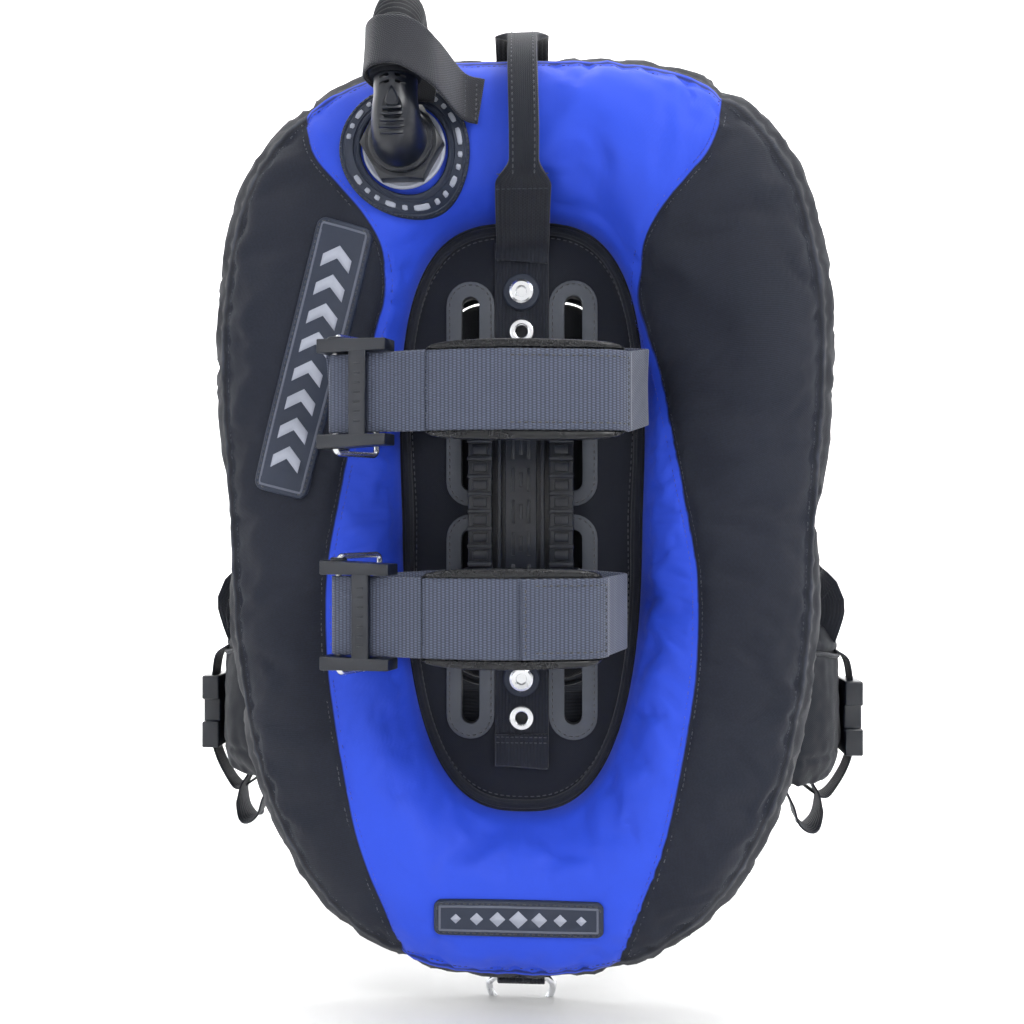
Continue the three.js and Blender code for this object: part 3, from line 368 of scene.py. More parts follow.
def roundSection(radius, sides=12):
    ring = [(radius * math.cos(2 * math.pi * i / sides), radius * math.sin(2 * math.pi * i / sides))
            for i in range(sides)]
    return lambda t: ring


def mirroredPoints(points, sign):
    return [Vector((sign * p[0], p[1], p[2])) for p in points]


def boxPattern(piece):
    # a UV map in metres laid flat on the piece, by each face's own direction
    data = piece.data
    layer = data.uv_layers.get("pattern") or data.uv_layers.new(name="pattern")
    for polygon in data.polygons:
        n = polygon.normal
        big = max(range(3), key=lambda i: abs(n[i]))
        a, b = [(1, 2), (0, 2), (0, 1)][big]
        for corner in polygon.loop_indices:
            co = data.vertices[data.loops[corner].vertex_index].co
            layer.data[corner].uv = (co[a], co[b])
    return piece


def pushed(piece, lift):
    # moves each vertex along its normal, by lift(place, normal) in millimetres
    normals = [v.normal.copy() for v in piece.data.vertices]
    for vertex, normal in zip(piece.data.vertices, normals):
        vertex.co += normal * lift(vertex.co / mm, normal) * mm
    piece.data.update()
    return piece


# materials
class Wire:
    # a node's socket that can be used in sums
    def __init__(self, paint, socket):
        self.paint, self.socket = paint, socket

    def maths(self, operation, *values):
        return self.paint.node("ShaderNodeMath", {"operation": operation}, dict(enumerate(values)))

    def __add__(self, other):
        return self.maths("ADD", self, other)

    def __radd__(self, other):
        return self.maths("ADD", other, self)

    def __sub__(self, other):
        return self.maths("SUBTRACT", self, other)

    def __rsub__(self, other):
        return self.maths("SUBTRACT", other, self)

    def __mul__(self, other):
        return self.maths("MULTIPLY", self, other)

    def __rmul__(self, other):
        return self.maths("MULTIPLY", other, self)

    def __truediv__(self, other):
        return self.maths("DIVIDE", self, other)

    def __pow__(self, other):
        return self.maths("POWER", self, other)

    def __abs__(self):
        return self.maths("ABSOLUTE", self)

    def sine(self):
        return self.maths("SINE", self)

    def above(self, limit):
        return self.maths("GREATER_THAN", self, limit)

    def part(self):
        return self.maths("FRACT", self)

    def most(self, other):
        return self.maths("MAXIMUM", self, other)

    def ranged(self, low, high, newLow=0.0, newHigh=1.0):
        return self.paint.node("ShaderNodeMapRange", {"clamp": True, "interpolation_type": "SMOOTHSTEP"},
                               {0: self, 1: low, 2: high, 3: newLow, 4: newHigh})


class Paint:
    def __init__(self, name):
        self.material = bpy.data.materials.new(name)
        self.material.use_nodes = True
        self.tree = self.material.node_tree
        self.tree.nodes.clear()
        self.shader = self.tree.nodes.new("ShaderNodeBsdfPrincipled")
        output = self.tree.nodes.new("ShaderNodeOutputMaterial")
        self.tree.links.new(self.shader.outputs[0], output.inputs["Surface"])

    def node(self, kind, settings=None, sockets=None, output=0):
        made = self.tree.nodes.new(kind)
        settings = dict(settings or {})
        stops = settings.pop("stops", None)
        for key, value in settings.items():
            setattr(made, key, value)
        if stops:
            ramp = made.color_ramp
            while len(ramp.elements) < len(stops):
                ramp.elements.new(1.0)
            for element, (place, colour) in zip(ramp.elements, stops):
                element.position = place
                element.color = colour
        for key, value in (sockets or {}).items():
            if isinstance(value, Wire):
                self.tree.links.new(value.socket, made.inputs[key])
            else:
                made.inputs[key].default_value = value
        return Wire(self, made.outputs[output])

    def space(self):
        return self.node("ShaderNodeTexCoord", output="Object")

    def pattern(self):
        return self.node("ShaderNodeUVMap", {"uv_map": "pattern"})

    def axes(self, wire):
        return [self.node("ShaderNodeSeparateXYZ", sockets={0: wire}, output=i) for i in range(3)]

    def grain(self, wire, size, detail=3.0, roughness=0.6):
        # smooth noise from 0 to 1, size is in metres
        return self.node("ShaderNodeTexNoise", {"noise_dimensions": "3D"},
                         {"Vector": wire, "Scale": 1 / size, "Detail": detail, "Roughness": roughness})

    def mixColour(self, amount, first, second):
        made = self.tree.nodes.new("ShaderNodeMix")
        made.data_type = "RGBA"
        for index, value in ((0, amount), (6, first), (7, second)):
            if isinstance(value, Wire):
                self.tree.links.new(value.socket, made.inputs[index])
            else:
                made.inputs[index].default_value = value
        return Wire(self, made.outputs[2])

    def attribute(self, name, output="Fac"):
        return self.node("ShaderNodeAttribute", {"attribute_name": name}, output=output)

    def bump(self, height, strength, distance, before=None):
        sockets = {"Height": height, "Strength": strength, "Distance": distance}
        if before is not None:
            sockets["Normal"] = before
        return self.node("ShaderNodeBump", None, sockets)

    def finished(self, colour, roughness, normal=None, **constants):
        for key, value in (("Base Color", colour), ("Roughness", roughness), ("Normal", normal)):
            if isinstance(value, Wire):
                self.tree.links.new(value.socket, self.shader.inputs[key])
            elif value is not None:
                self.shader.inputs[key].default_value = value
        for key, value in constants.items():
            self.shader.inputs[key].default_value = value
        return self.material


def srgb(r, g, b):
    # a colour as it is read off a swatch, 0 to 255
    def line(c):
        c /= 255
        return c / 12.92 if c <= 0.04045 else ((c + 0.055) / 1.055) ** 2.4
    return (line(r), line(g), line(b), 1.0)


def shaded(colour, amount):
    return tuple(c * amount for c in colour[:3]) + (1.0,)


tau = 2 * math.pi


def wovenCloth(name, colour, pitch=0.0011, sheen=0.25, roughness=0.78, depth=0.0002):
    # plain cloth: threads that cross, slubs, and a soft change of tone
    paint = Paint(name)
    u, v, _ = paint.axes(paint.pattern())
    place = paint.space()
    slub = paint.grain(place, 0.004, 2)
    first = (u * (tau / pitch) + slub * 1.5).sine()
    second = (v * (tau / pitch) + slub * 1.5).sine()
    threads = first * second
    cloud = paint.grain(place, 0.09, 3)
    fleck = paint.grain(place, 0.0016, 1)
    tone = cloud * 0.12 + fleck * 0.25 + threads * 0.1 + (1 - 0.12 / 2 - 0.16)
    deep = paint.mixColour((tone - 0.72) * 1.7, shaded(colour, 0.66), shaded(colour, 1.12))
    bumped = paint.bump(threads * 0.5 + slub * 0.5, 0.55, depth, paint.bump(cloud, 0.18, 0.004))
    return paint.finished(deep, fleck * 0.12 + (roughness - 0.06), bumped,
                          **{"Sheen Weight": sheen, "Sheen Roughness": 0.45, "Specular IOR Level": 0.32})


def webbingCloth(name, colour, pitch=0.0016, row=0.0021, light=1.5, dark=0.45, roughness=0.72, sheen=0.3, depth=0.0004):
    # coarse webbing: columns of knots across the strap, each row half a step from the next
    paint = Paint(name)
    u, v, _ = paint.axes(paint.pattern())
    place = paint.space()
    column = (v * (math.pi / pitch)).sine()
    raised = abs(column)
    half = (v * (0.5 / pitch)).part().above(0.5) * math.pi
    knot = (u * (tau / row) + half).sine() * 0.5 + 0.5
    height = raised ** 0.7 * (knot * 0.65 + 0.35)
    fleck = paint.grain(place, 0.0012, 2)
    cloud = paint.grain(place, 0.05, 2)
    tone = paint.mixColour(height * 0.85 + fleck * 0.3 - 0.08, shaded(colour, dark), shaded(colour, light))
    tone = paint.mixColour(cloud * 0.35, tone, shaded(colour, 0.8))
    bumped = paint.bump(height + fleck * 0.25, 0.8, depth)
    return paint.finished(tone, fleck * 0.15 + (roughness - 0.08), bumped,
                          **{"Sheen Weight": sheen, "Sheen Roughness": 0.4, "Specular IOR Level": 0.35})


def ribbedCloth(name, colour, pitch=0.0024, depth=0.0006, roughness=0.8):
    # fine lengthwise ribs, as on narrow black webbing
    paint = Paint(name)
    u, v, _ = paint.axes(paint.pattern())
    place = paint.space()
    rib = (u * (tau / pitch)).sine() * 0.5 + 0.5
    tooth = (v * (tau / 0.0014) + (u * (1 / pitch)).part().above(0.5) * math.pi).sine() * 0.5 + 0.5
    fleck = paint.grain(place, 0.0014, 2)
    height = rib ** 0.6 * 0.7 + tooth * 0.3
    tone = paint.mixColour(height * 0.7 + fleck * 0.4 - 0.1, shaded(colour, 0.5), shaded(colour, 1.45))
    return paint.finished(tone, fleck * 0.14 + (roughness - 0.07), paint.bump(height + fleck * 0.2, 0.75, depth),
                          **{"Sheen Weight": 0.25, "Sheen Roughness": 0.5, "Specular IOR Level": 0.3})


def mouldedPlastic(name, colour, roughness=0.42, speckle=0.0007, coat=0.0):
    # moulded plastic: fine spark texture, a flow tone and rubbed high spots
    paint = Paint(name)
    place = paint.space()
    fine = paint.grain(place, speckle, 2)
    flow = paint.grain(place, 0.03, 3)
    scuff = paint.grain(place, 0.009, 5, 0.75).ranged(0.62, 0.78)
    tone = paint.mixColour(flow * 0.5, shaded(colour, 0.82), shaded(colour, 1.18))
    tone = paint.mixColour(scuff * 0.22, tone, shaded(colour, 2.0))
    rough = flow * 0.12 + fine * 0.08 + scuff * 0.14 + (roughness - 0.12)
    return paint.finished(tone, rough, paint.bump(fine, 0.35, 0.00012, paint.bump(scuff, 0.12, 0.0002)),
                          **{"Specular IOR Level": 0.45, "Coat Weight": coat, "Coat Roughness": 0.2})


def softRubber(name, colour, roughness=0.6, dust=0.2):
    # matt rubber: dry grain with a pale bloom of dust and salt in the low tones
    paint = Paint(name)
    place = paint.space()
    fine = paint.grain(place, 0.0009, 3)
    bloom = paint.grain(place, 0.022, 4, 0.7).ranged(0.45, 0.8)
    tone = paint.mixColour(bloom * dust, shaded(colour, 0.92), shaded(colour, 1.6))
    rough = bloom * 0.14 + fine * 0.1 + (roughness - 0.1)
    return paint.finished(tone, rough, paint.bump(fine, 0.45, 0.00018), **{"Specular IOR Level": 0.4})


def brushedSteel(name, colour, roughness=0.24):
    # drawn stainless steel: fine lines, water spots and small dull patches
    paint = Paint(name)
    place = paint.space()
    stretched = paint.node("ShaderNodeMapping", None, {"Vector": place, "Scale": (1.0, 1.0, 0.12)})
    lines = paint.grain(stretched, 0.0006, 4)
    spots = paint.grain(place, 0.006, 3).ranged(0.6, 0.75)
    tone = paint.mixColour(spots * 0.35, colour, shaded(colour, 0.7))
    rough = lines * 0.12 + spots * 0.18 + (roughness - 0.06)
    return paint.finished(tone, rough, paint.bump(lines, 0.16, 0.0001), **{"Metallic": 1.0})


def thread(name, colour):
    # twisted thread for the rows of stitches
    paint = Paint(name)
    place = paint.space()
    twist = paint.grain(place, 0.0005, 2)
    tone = paint.mixColour(twist, shaded(colour, 0.6), shaded(colour, 1.35))
    return paint.finished(tone, twist * 0.2 + 0.5, paint.bump(twist, 0.6, 0.0002), **{"Sheen Weight": 0.3})


colours = {
    "blue": srgb(44, 82, 228),
    "black": srgb(27, 32, 46),
    "gusset": srgb(22, 26, 38),
    "webbing": srgb(25, 29, 39),
    "band": srgb(74, 80, 97),
    "plastic": srgb(24, 28, 39),
    "rubber": srgb(40, 47, 62),
    "patch": srgb(42, 50, 68),
    "trim": srgb(76, 80, 88),
    "silver": srgb(176, 181, 196),
    "steel": (0.72, 0.73, 0.75, 1.0),
    "foam": srgb(28, 30, 36),
}
finishes = {
    "panelCloth": wovenCloth("panelCloth", srgb(24, 28, 38), pitch=0.0016, sheen=0.12, roughness=0.85),
    "pocketCloth": wovenCloth("pocketCloth", srgb(22, 26, 36), pitch=0.0015, sheen=0.1),
    "padCloth": wovenCloth("padCloth", colours["foam"], pitch=0.0022, depth=0.0005, sheen=0.35, roughness=0.88),
    "bandWeb": webbingCloth("bandWeb", colours["band"], pitch=0.0026, row=0.0016, light=2.1, dark=0.3),
    "strapWeb": ribbedCloth("strapWeb", colours["webbing"]),
    "wideWeb": webbingCloth("wideWeb", srgb(36, 38, 46), pitch=0.0013, row=0.0017, light=1.45, dark=0.5, depth=0.0003),
    "plastic": mouldedPlastic("plastic", colours["plastic"]),
    "plasticSatin": mouldedPlastic("plasticSatin", srgb(20, 25, 36), roughness=0.34, coat=0.15),
    "plasticMatt": mouldedPlastic("plasticMatt", srgb(26, 29, 36), roughness=0.55),
    "glossRubber": mouldedPlastic("glossRubber", srgb(14, 16, 21), roughness=0.3, speckle=0.0012),
    "rubber": softRubber("rubber", colours["rubber"]),
    "patchRubber": softRubber("patchRubber", colours["patch"], roughness=0.5),
    "trimRubber": softRubber("trimRubber", colours["trim"], roughness=0.52, dust=0.3),
    "hoseRubber": softRubber("hoseRubber", srgb(24, 27, 34), roughness=0.55),
    "silverPrint": softRubber("silverPrint", colours["silver"], roughness=0.42, dust=0.1),
    "labelLine": softRubber("labelLine", srgb(104, 109, 124), roughness=0.45, dust=0.1),
    "steel": brushedSteel("steel", colours["steel"]),
    "blackThread": thread("blackThread", srgb(16, 17, 22)),
    "greyThread": thread("greyThread", srgb(52, 56, 68)),
    "blueThread": thread("blueThread", srgb(30, 52, 190)),
    "bladder": softRubber("bladder", srgb(70, 74, 84)),
}


def painted(piece, *names):
    piece.data.materials.clear()
    for name in names:
        piece.data.materials.append(finishes[name])
    return piece


def settled(piece, body="vest", stands=(), finish=None):
    # gives a finished piece its finish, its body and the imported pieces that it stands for
    if finish:
        painted(piece, *([finish] if isinstance(finish, str) else finish))
    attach(piece, body)
    if stands:
        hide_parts(*([stands] if isinstance(stands, str) else stands))
    return piece


print("materials:", len(finishes))


# camera, lights and floor
studio = {
    "lookAt": (-6.4, 0, -19.3),  # millimetres
    "distance": 800,
    "azimuth": 3.5,
    "rise": 0.0,
    "lens": 39.3,
    "floorZ": -366,
    "keyPower": 15.5,
    "fillPower": 4.5,
    "topPower": 12,
    "sky": (0.93, 0.95, 1.0, 1.0),
    "skyStrength": 0.3,
    "wallPower": 62,
}


def lightPanel(name, place, target, size, power, colour=(1, 1, 1)):
    lamp = bpy.data.lights.new(name, "AREA")
    lamp.shape = "RECTANGLE"
    lamp.size, lamp.size_y = size
    lamp.energy = power
    lamp.color = colour
    holder = bpy.data.objects.new(name, lamp)
    bpy.context.scene.collection.objects.link(holder)
    holder.location = place
    holder.rotation_mode = "QUATERNION"
    holder.rotation_quaternion = (Vector(target) - Vector(place)).to_track_quat("-Z", "Y")
    return holder


def makeStudio():
    turn = math.radians(studio["azimuth"])
    target = point(*studio["lookAt"])
    lens = bpy.data.cameras.new("camera")
    lens.sensor_width = 36
    lens.lens = studio["lens"]
    lens.clip_start, lens.clip_end = 0.05, 30
    camera = bpy.data.objects.new("camera", lens)
    bpy.context.scene.collection.objects.link(camera)
    back = Vector((math.sin(turn), -math.cos(turn), 0)) * studio["distance"] * mm
    camera.location = target + back + Vector((0, 0, studio["rise"] * mm))
    camera.rotation_mode = "QUATERNION"
    camera.rotation_quaternion = (target - camera.location).to_track_quat("-Z", "Y")
    bpy.context.scene.camera = camera

    lightPanel("keyLight", (1.15, -1.35, 1.1), (0, 0, 0.0), (0.7, 0.7), studio["keyPower"])
    lightPanel("fillLight", (-1.4, -1.3, 0.1), (0, 0, -0.05), (1.0, 1.4), studio["fillPower"], (0.90, 0.94, 1.0))
    lightPanel("topLight", (0.1, 0.2, 1.6), (0, 0.05, 0), (1.4, 1.0), studio["topPower"])
    lightPanel("backLight", (-0.6, 1.7, 0.8), (0, 0, 0), (1.2, 1.2), studio["fillPower"] / 2)
    for name, side in (("leftWallLight", -1), ("rightWallLight", 1)):
        lightPanel(name, (side * 1.3, 1.3, 1.5), (side * 0.5, 3, 0.1), (1.2, 1.2), studio["wallPower"])
    world = bpy.data.worlds.new("studio")
    bpy.context.scene.world = world
    world.use_nodes = True
    sky = world.node_tree.nodes["Background"]
    sky.inputs["Color"].default_value = studio["sky"]
    sky.inputs["Strength"].default_value = studio["skyStrength"]
    bpy.context.scene.view_settings.view_transform = "Standard"

    clearSelection()
    bpy.ops.mesh.primitive_plane_add(size=6, location=(0, 0, studio["floorZ"] * mm))
    floor = started("floor")
    bpy.ops.object.mode_set(mode="EDIT")
    bm = bmesh.from_edit_mesh(floor.data)
    bm.edges.ensure_lookup_table()
    for edge in bm.edges:
        edge.select = all(v.co.y > 1 for v in edge.verts)
    bmesh.update_edit_mesh(floor.data)
    bpy.ops.mesh.extrude_region_move(TRANSFORM_OT_translate={"value": (0, 0, 4)})
    bpy.ops.object.mode_set(mode="OBJECT")
    applied(floor, "BEVEL", width=1.2, segments=12, limit_method="ANGLE")
    paint = Paint("floorPaint")
    haze = paint.grain(paint.space(), 0.4, 2)
    paint.finished(paint.mixColour(haze, (0.90, 0.90, 0.90, 1), (0.94, 0.94, 0.94, 1)), 0.85)
    floor.data.materials.append(paint.material)
    smoothed(floor)


makeStudio()
print("studio ready")


# the air cell's cover
wing = {
    "width": 420, "height": 643, "centreZ": -23, "squareness": 2.92, "squarenessChange": 0.2,
    "taperTop": 0.135, "taperBottom": 0.05, "bulgeTank": 52, "bulgeDiver": 26, "roundness": 2.3,
    "openingWidth": 174, "openingHeight": 426, "panelFront": 12,
    "around": 300, "section": 104,
    "gussetAt": 0.915,  # where the front's edge seam runs, from 0 at the opening to 1 outside
    "seamMiddle": -5,
    # half the width of the bright middle panel at each height
    "seamCurve": [(330, 150), (243, 141), (222, 133), (203, 117), (183, 100), (163, 89), (135, 87), (100, 95),
                  (60, 104), (0, 115), (-60, 125), (-118, 125), (-160, 120), (-200, 113), (-240, 104), (-280, 90),
                  (-345, 68)],
    "puff": 5.0,  # how far the cloth may move in the simulation
    "wrinkle": 1.0,
}
seamLine = curveThrough([(half, 0, z) for z, half in wing["seamCurve"]], 400)


def seamHalf(z):
    # half the middle panel's width at this height
    low, high = 0, len(seamLine) - 1
    while high - low > 1:
        middle = (low + high) // 2
        if seamLine[middle].z >= z:
            low = middle
        else:
            high = middle
    a, b = seamLine[low], seamLine[high]
    t = min(max((a.z - z) / max(a.z - b.z, 1e-6), 0), 1)
    return a.x + (b.x - a.x) * t


def narrowing(z):
    taper = wing["taperTop"] if z > wing["centreZ"] else wing["taperBottom"]
    return 1 + taper * 2 * (z - wing["centreZ"]) / wing["height"]


def ovalRadius(angle, width, height):
    n = wing["squareness"] + wing["squarenessChange"] * math.sin(angle)
    return (abs(2 * math.cos(angle) / width) ** n + abs(2 * math.sin(angle) / height) ** n) ** (-1 / n)


def ovalPoint(angle, radius):
    z = wing["centreZ"] + radius * math.sin(angle)
    return radius * math.cos(angle) * narrowing(z), z


def innerRadius(angle):
    return ovalRadius(angle, wing["openingWidth"], wing["openingHeight"])


def outerRadius(angle):
    return ovalRadius(angle, wing["width"], wing["height"])


def shareAcross(x, z):
    dz = z - wing["centreZ"]
    dx = x / narrowing(z)
    angle = math.atan2(dz, dx)
    inner, outer = innerRadius(angle), outerRadius(angle)
    return min(max((math.hypot(dx, dz) - inner) / (outer - inner), 0), 1)


def cellMiddle(t):
    return wing["panelFront"] * (1 - t) ** 2


def cellHeight(t):
    r = wing["roundness"]
    return max(1 - abs(2 * t - 1) ** r, 0) ** (1 / r)


def wingFront(x, z):
    t = shareAcross(x, z)
    return cellMiddle(t) - wing["bulgeTank"] * cellHeight(t)


def wingBack(x, z):
    t = shareAcross(x, z)
    return cellMiddle(t) + wing["bulgeDiver"] * cellHeight(t)


def evenAngles(count):
    line = []
    for i in range(1441):
        angle = tau * i / 1440
        x, z = ovalPoint(angle, outerRadius(angle))
        line.append(Vector((x, 0, z)))
    spaced = evenly(line, count)[:count]
    return [math.atan2(p.z - wing["centreZ"], p.x / narrowing(p.z)) for p in spaced]


# places where something lies on the cell, so the cloth keeps still there: x, z, radius
pressedSpots = [(-76, 226, 52), (-139, 85, 24), (-128, 128, 26), (-117, 170, 24), (-150, 42, 26), (-158, 0, 22),
                (1, -292, 26), (-34, -292, 22), (36, -292, 22), (-30, 258, 26), (-112, -250, 30), (3, 262, 26)]


def freedom(x, z):
    free = 1.0
    for sx, sz, r in pressedSpots:
        free = min(free, max((math.hypot(x - sx, z - sz) - r * 0.72) / (r * 0.7), 0.0))
    return min(free, 1.0)


def seamDistance(x, z):
    # below 0 on the bright panel, above 0 on the dark side panels, in millimetres across the seam
    half = seamHalf(z)
    slope = (seamHalf(z + 2) - seamHalf(z - 2)) / 4
    return (abs(x - wing["seamMiddle"]) - half) / math.sqrt(1 + slope * slope)


def foldHeight(x, z, t, s, angle, front):
    # creases that run away from the seams, in millimetres, below 0 is inwards
    out = 0.0
    edge = (1 - t) * 123
    inner = t * 123
    out += 1.5 * noiseAt(angle * 9, t * 1.3, 3.1, 0.42) * math.exp(-(inner / 30) ** 2) * (1 if front else 0.6)
    out += 1.1 * noiseAt(angle * 30, t * 2, 1.7, 0.8) * math.exp(-((edge - 11) / 20) ** 2)
    out += 1.3 * noiseAt(x, z, 0.5, 46) + 0.45 * noiseAt(x * 1.3, z, 2.5, 17)
    if front:
        out += 0.8 * noiseAt(z * 1.6, s * 0.25, 5.0, 13) * math.exp(-(s / 17) ** 2)
        out -= 1.9 * math.exp(-(s / 2.6) ** 2) + 1.4 * math.exp(-(s / 9) ** 2)
        foot = math.exp(-((x - 2) / 75) ** 2) * math.exp(-((z + 262) / 32) ** 2)
        out += 1.6 * foot * noiseAt(x, z * 0.28, 7.0, 9.5)
        shoulder = math.exp(-((x - 48) / 55) ** 2) * math.exp(-((z - 268) / 30) ** 2)
        out += 2.2 * shoulder * noiseAt(x * 0.8 + z * 0.5, z * 0.35 - x * 0.3, 9.0, 13)
    return out * wing["wrinkle"]


def wingCover():
    around, section, r = wing["around"], wing["section"], wing["roundness"]
    angles = evenAngles(around)
    points, faces, facesUvs, info = [], [], [], []
    outerWay = [0.0]
    for i, angle in enumerate(angles):
        inner, outer = innerRadius(angle), outerRadius(angle)
        x1, z1 = ovalPoint(angle, outer)
        if i:
            outerWay.append(outerWay[-1] + math.hypot(x1 - before[0], z1 - before[1]))
        before = (x1, z1)
        for j in range(section):
            v = tau * j / section
            cos, sin = math.cos(v), math.sin(v)
            reach = math.copysign(abs(cos) ** (2 / r), cos)
            height = math.copysign(abs(sin) ** (2 / r), sin)
            t = (1 - reach) / 2
            front = height > 0
            x, z = ovalPoint(angle, inner + t * (outer - inner))
            y = cellMiddle(t) - (wing["bulgeTank"] if front else wing["bulgeDiver"]) * height
            points.append(Vector((x, y, z)))
            info.append((x, z, t, front, angle, height))
    outerWay.append(outerWay[-1] + math.hypot(x1 - ovalPoint(angles[0], outerRadius(angles[0]))[0], 2.0))
    girth = [0.0]
    for j in range(section):
        a, b = points[j], points[(j + 1) % section]
        girth.append(girth[-1] + (b - a).length)
    for i in range(around):
        k = (i + 1) % around
        for j in range(section):
            l = (j + 1) % section
            faces.append((i * section + j, i * section + l, k * section + l, k * section + j))
            facesUvs.append([(girth[j] * mm, outerWay[i] * mm), (girth[j + 1] * mm, outerWay[i] * mm),
                             (girth[j + 1] * mm, outerWay[i + 1] * mm), (girth[j] * mm, outerWay[i + 1] * mm)])
    cover = madeMesh("wing_cover", [p * mm for p in points], faces, facesUvs=facesUvs)
    outward(cover)
    rest = [v.co.copy() for v in cover.data.vertices]
    normals = [v.normal.copy() for v in cover.data.vertices]

    # the cloth is blown up against its sewn seams, then drawn back to the room that it has
    held = cover.vertex_groups.new(name="sewn")
    for index, (x, z, t, front, angle, height) in enumerate(info):
        s = seamDistance(x, z)
        grip = 0.0
        if t < 0.03 or abs(t - wing["gussetAt"]) < 0.012 or freedom(x, z) < 0.15:
            grip = 1.0
        elif front and abs(s) < 2.5:
            grip = 1.0
        if grip:
            held.add([index], grip, "REPLACE")
    after = solved(cover, "sewn", quality=4, mass=0.25, stiffness=12, bending=0.25, shrink=-0.035, shear=3)
    print("cloth moved at most", round(max((a - b).length for a, b in zip(after, rest)) * 1000, 1), "mm")
    offsets = heldBack(after, rest, wing["puff"] * mm)

    distance = cover.data.attributes.new("seamDistance", "FLOAT", "POINT")
    edge = cover.data.attributes.new("edgeDistance", "FLOAT", "POINT")
    seams, edges = [], []
    for vertex, base, normal, offset, (x, z, t, front, angle, height) in zip(
            cover.data.vertices, rest, normals, offsets, info):
        s = seamDistance(x, z)
        free = freedom(x, z)
        lift = foldHeight(x, z, t, s, angle, front)
        cord = (t - wing["gussetAt"]) * 123 if front else 123
        lift += 1.5 * math.exp(-(cord / 1.7) ** 2) - 1.0 * math.exp(-((abs(cord) - 4.2) / 2.0) ** 2)
        if not front:
            lift = min(lift, 0.4) if shareAcross(x, z) < 0.75 else lift
        lift = min(lift, 1.8)
        vertex.co = base + offset * free + normal * (lift * free * mm)
        if t < 0.06:
            vertex.co = base.lerp(vertex.co, t / 0.06)
        seams.append(s if front else 60.0)
        edges.append(cord)
    distance.data.foreach_set("value", seams)
    edge.data.foreach_set("value", edges)
    return cover, info


def coverPaint():
    # one cloth in three tones: the bright middle, the dark sides, and the darker gusset round the edge
    paint = Paint("cellCloth")
    u, v, _ = paint.axes(paint.pattern())
    place = paint.space()
    s = paint.attribute("seamDistance")
    e = paint.attribute("edgeDistance")
    slub = paint.grain(place, 0.004, 2)
    fleck = paint.grain(place, 0.0014, 2)
    cloud = paint.grain(place, 0.11, 3)
    first = (u * (tau / 0.0013) + slub * 1.5).sine()
    second = (v * (tau / 0.0013) + slub * 1.5).sine()
    plain = first * second
    twill = ((u + v) * (tau / 0.0017) + slub).sine()
    dark = s.above(0.0).most(e.above(0.0))
    ridge = twill * 0.5 + plain * 0.5
    blueTone = paint.mixColour(cloud * 0.5 + plain * 0.08 + fleck * 0.25 - 0.05, shaded(colours["blue"], 0.86),
                               shaded(colours["blue"], 1.12))
    blackTone = paint.mixColour(fleck * 0.75 + ridge * 0.16 + cloud * 0.2 - 0.22, shaded(colours["black"], 0.5),
                                shaded(colours["black"], 1.9))
    gussetTone = paint.mixColour(fleck * 0.6 + ridge * 0.14, shaded(colours["gusset"], 0.55),
                                 shaded(colours["gusset"], 1.5))
    tone = paint.mixColour(e.above(0.0), paint.mixColour(s.above(0.0), blueTone, blackTone), gussetTone)
    # painted shade: a narrow dark line painted into the bottom of the seam grooves and on the inner flank of the raised
    # edge ridge
    line = abs(s).ranged(0.25, 1.1, 1.0, 0.0).most(abs(e + 1.9).ranged(0.2, 0.8, 1.0, 0.0))
    tone = paint.mixColour(line * 0.75, tone, shaded(colours["black"], 0.25))
    # painted highlight: a paler bluish grey painted along the crest of the raised edge ridge, broken into patches by
    # noise
    paintedRidgeHighlight = abs(e).ranged(0.3, 2.2, 1.0, 0.0) * paint.grain(place, 0.02, 4).ranged(0.45, 0.7)
    tone = paint.mixColour(paintedRidgeHighlight * 0.25, tone, srgb(88, 94, 112))
    height = plain * (1 - dark) * 0.3 + ridge * dark * 0.6 + slub * 0.4
    rough = dark * 0.16 + fleck * 0.12 + 0.52
    bumped = paint.bump(height, 0.5, 0.0002, paint.bump(cloud, 0.12, 0.004))
    return paint.finished(tone, rough, bumped, **{"Sheen Weight": 0.08, "Sheen Roughness": 0.45,
                                                  "Specular IOR Level": 0.34})


def nearestPoint(info, cover):
    # a lookup of the cover's own front surface, so that stitches lie on it
    cells = {}
    for index, (x, z, _, front, *_) in enumerate(info):
        if front:
            cells.setdefault((int(x // 8), int(z // 8)), []).append(index)

    def at(x, z):
        best, found = 1e9, None
        cx, cz = int(x // 8), int(z // 8)
        for i in (-1, 0, 1):
            for k in (-1, 0, 1):
                for index in cells.get((cx + i, cz + k), ()):
                    d = (info[index][0] - x) ** 2 + (info[index][1] - z) ** 2
                    if d < best:
                        best, found = d, index
        if found is None:
            return point(x, wingFront(x, z), z), Vector((0, -1, 0))
        vertex = cover.data.vertices[found]
        flat = point(x, 0, z) - Vector((vertex.co.x, 0, vertex.co.z))
        n = vertex.normal
        drop = -(flat.x * n.x + flat.z * n.z) / (n.y if abs(n.y) > 0.2 else -0.2)
        return Vector((x * mm, vertex.co.y + drop, z * mm)), n
    return at


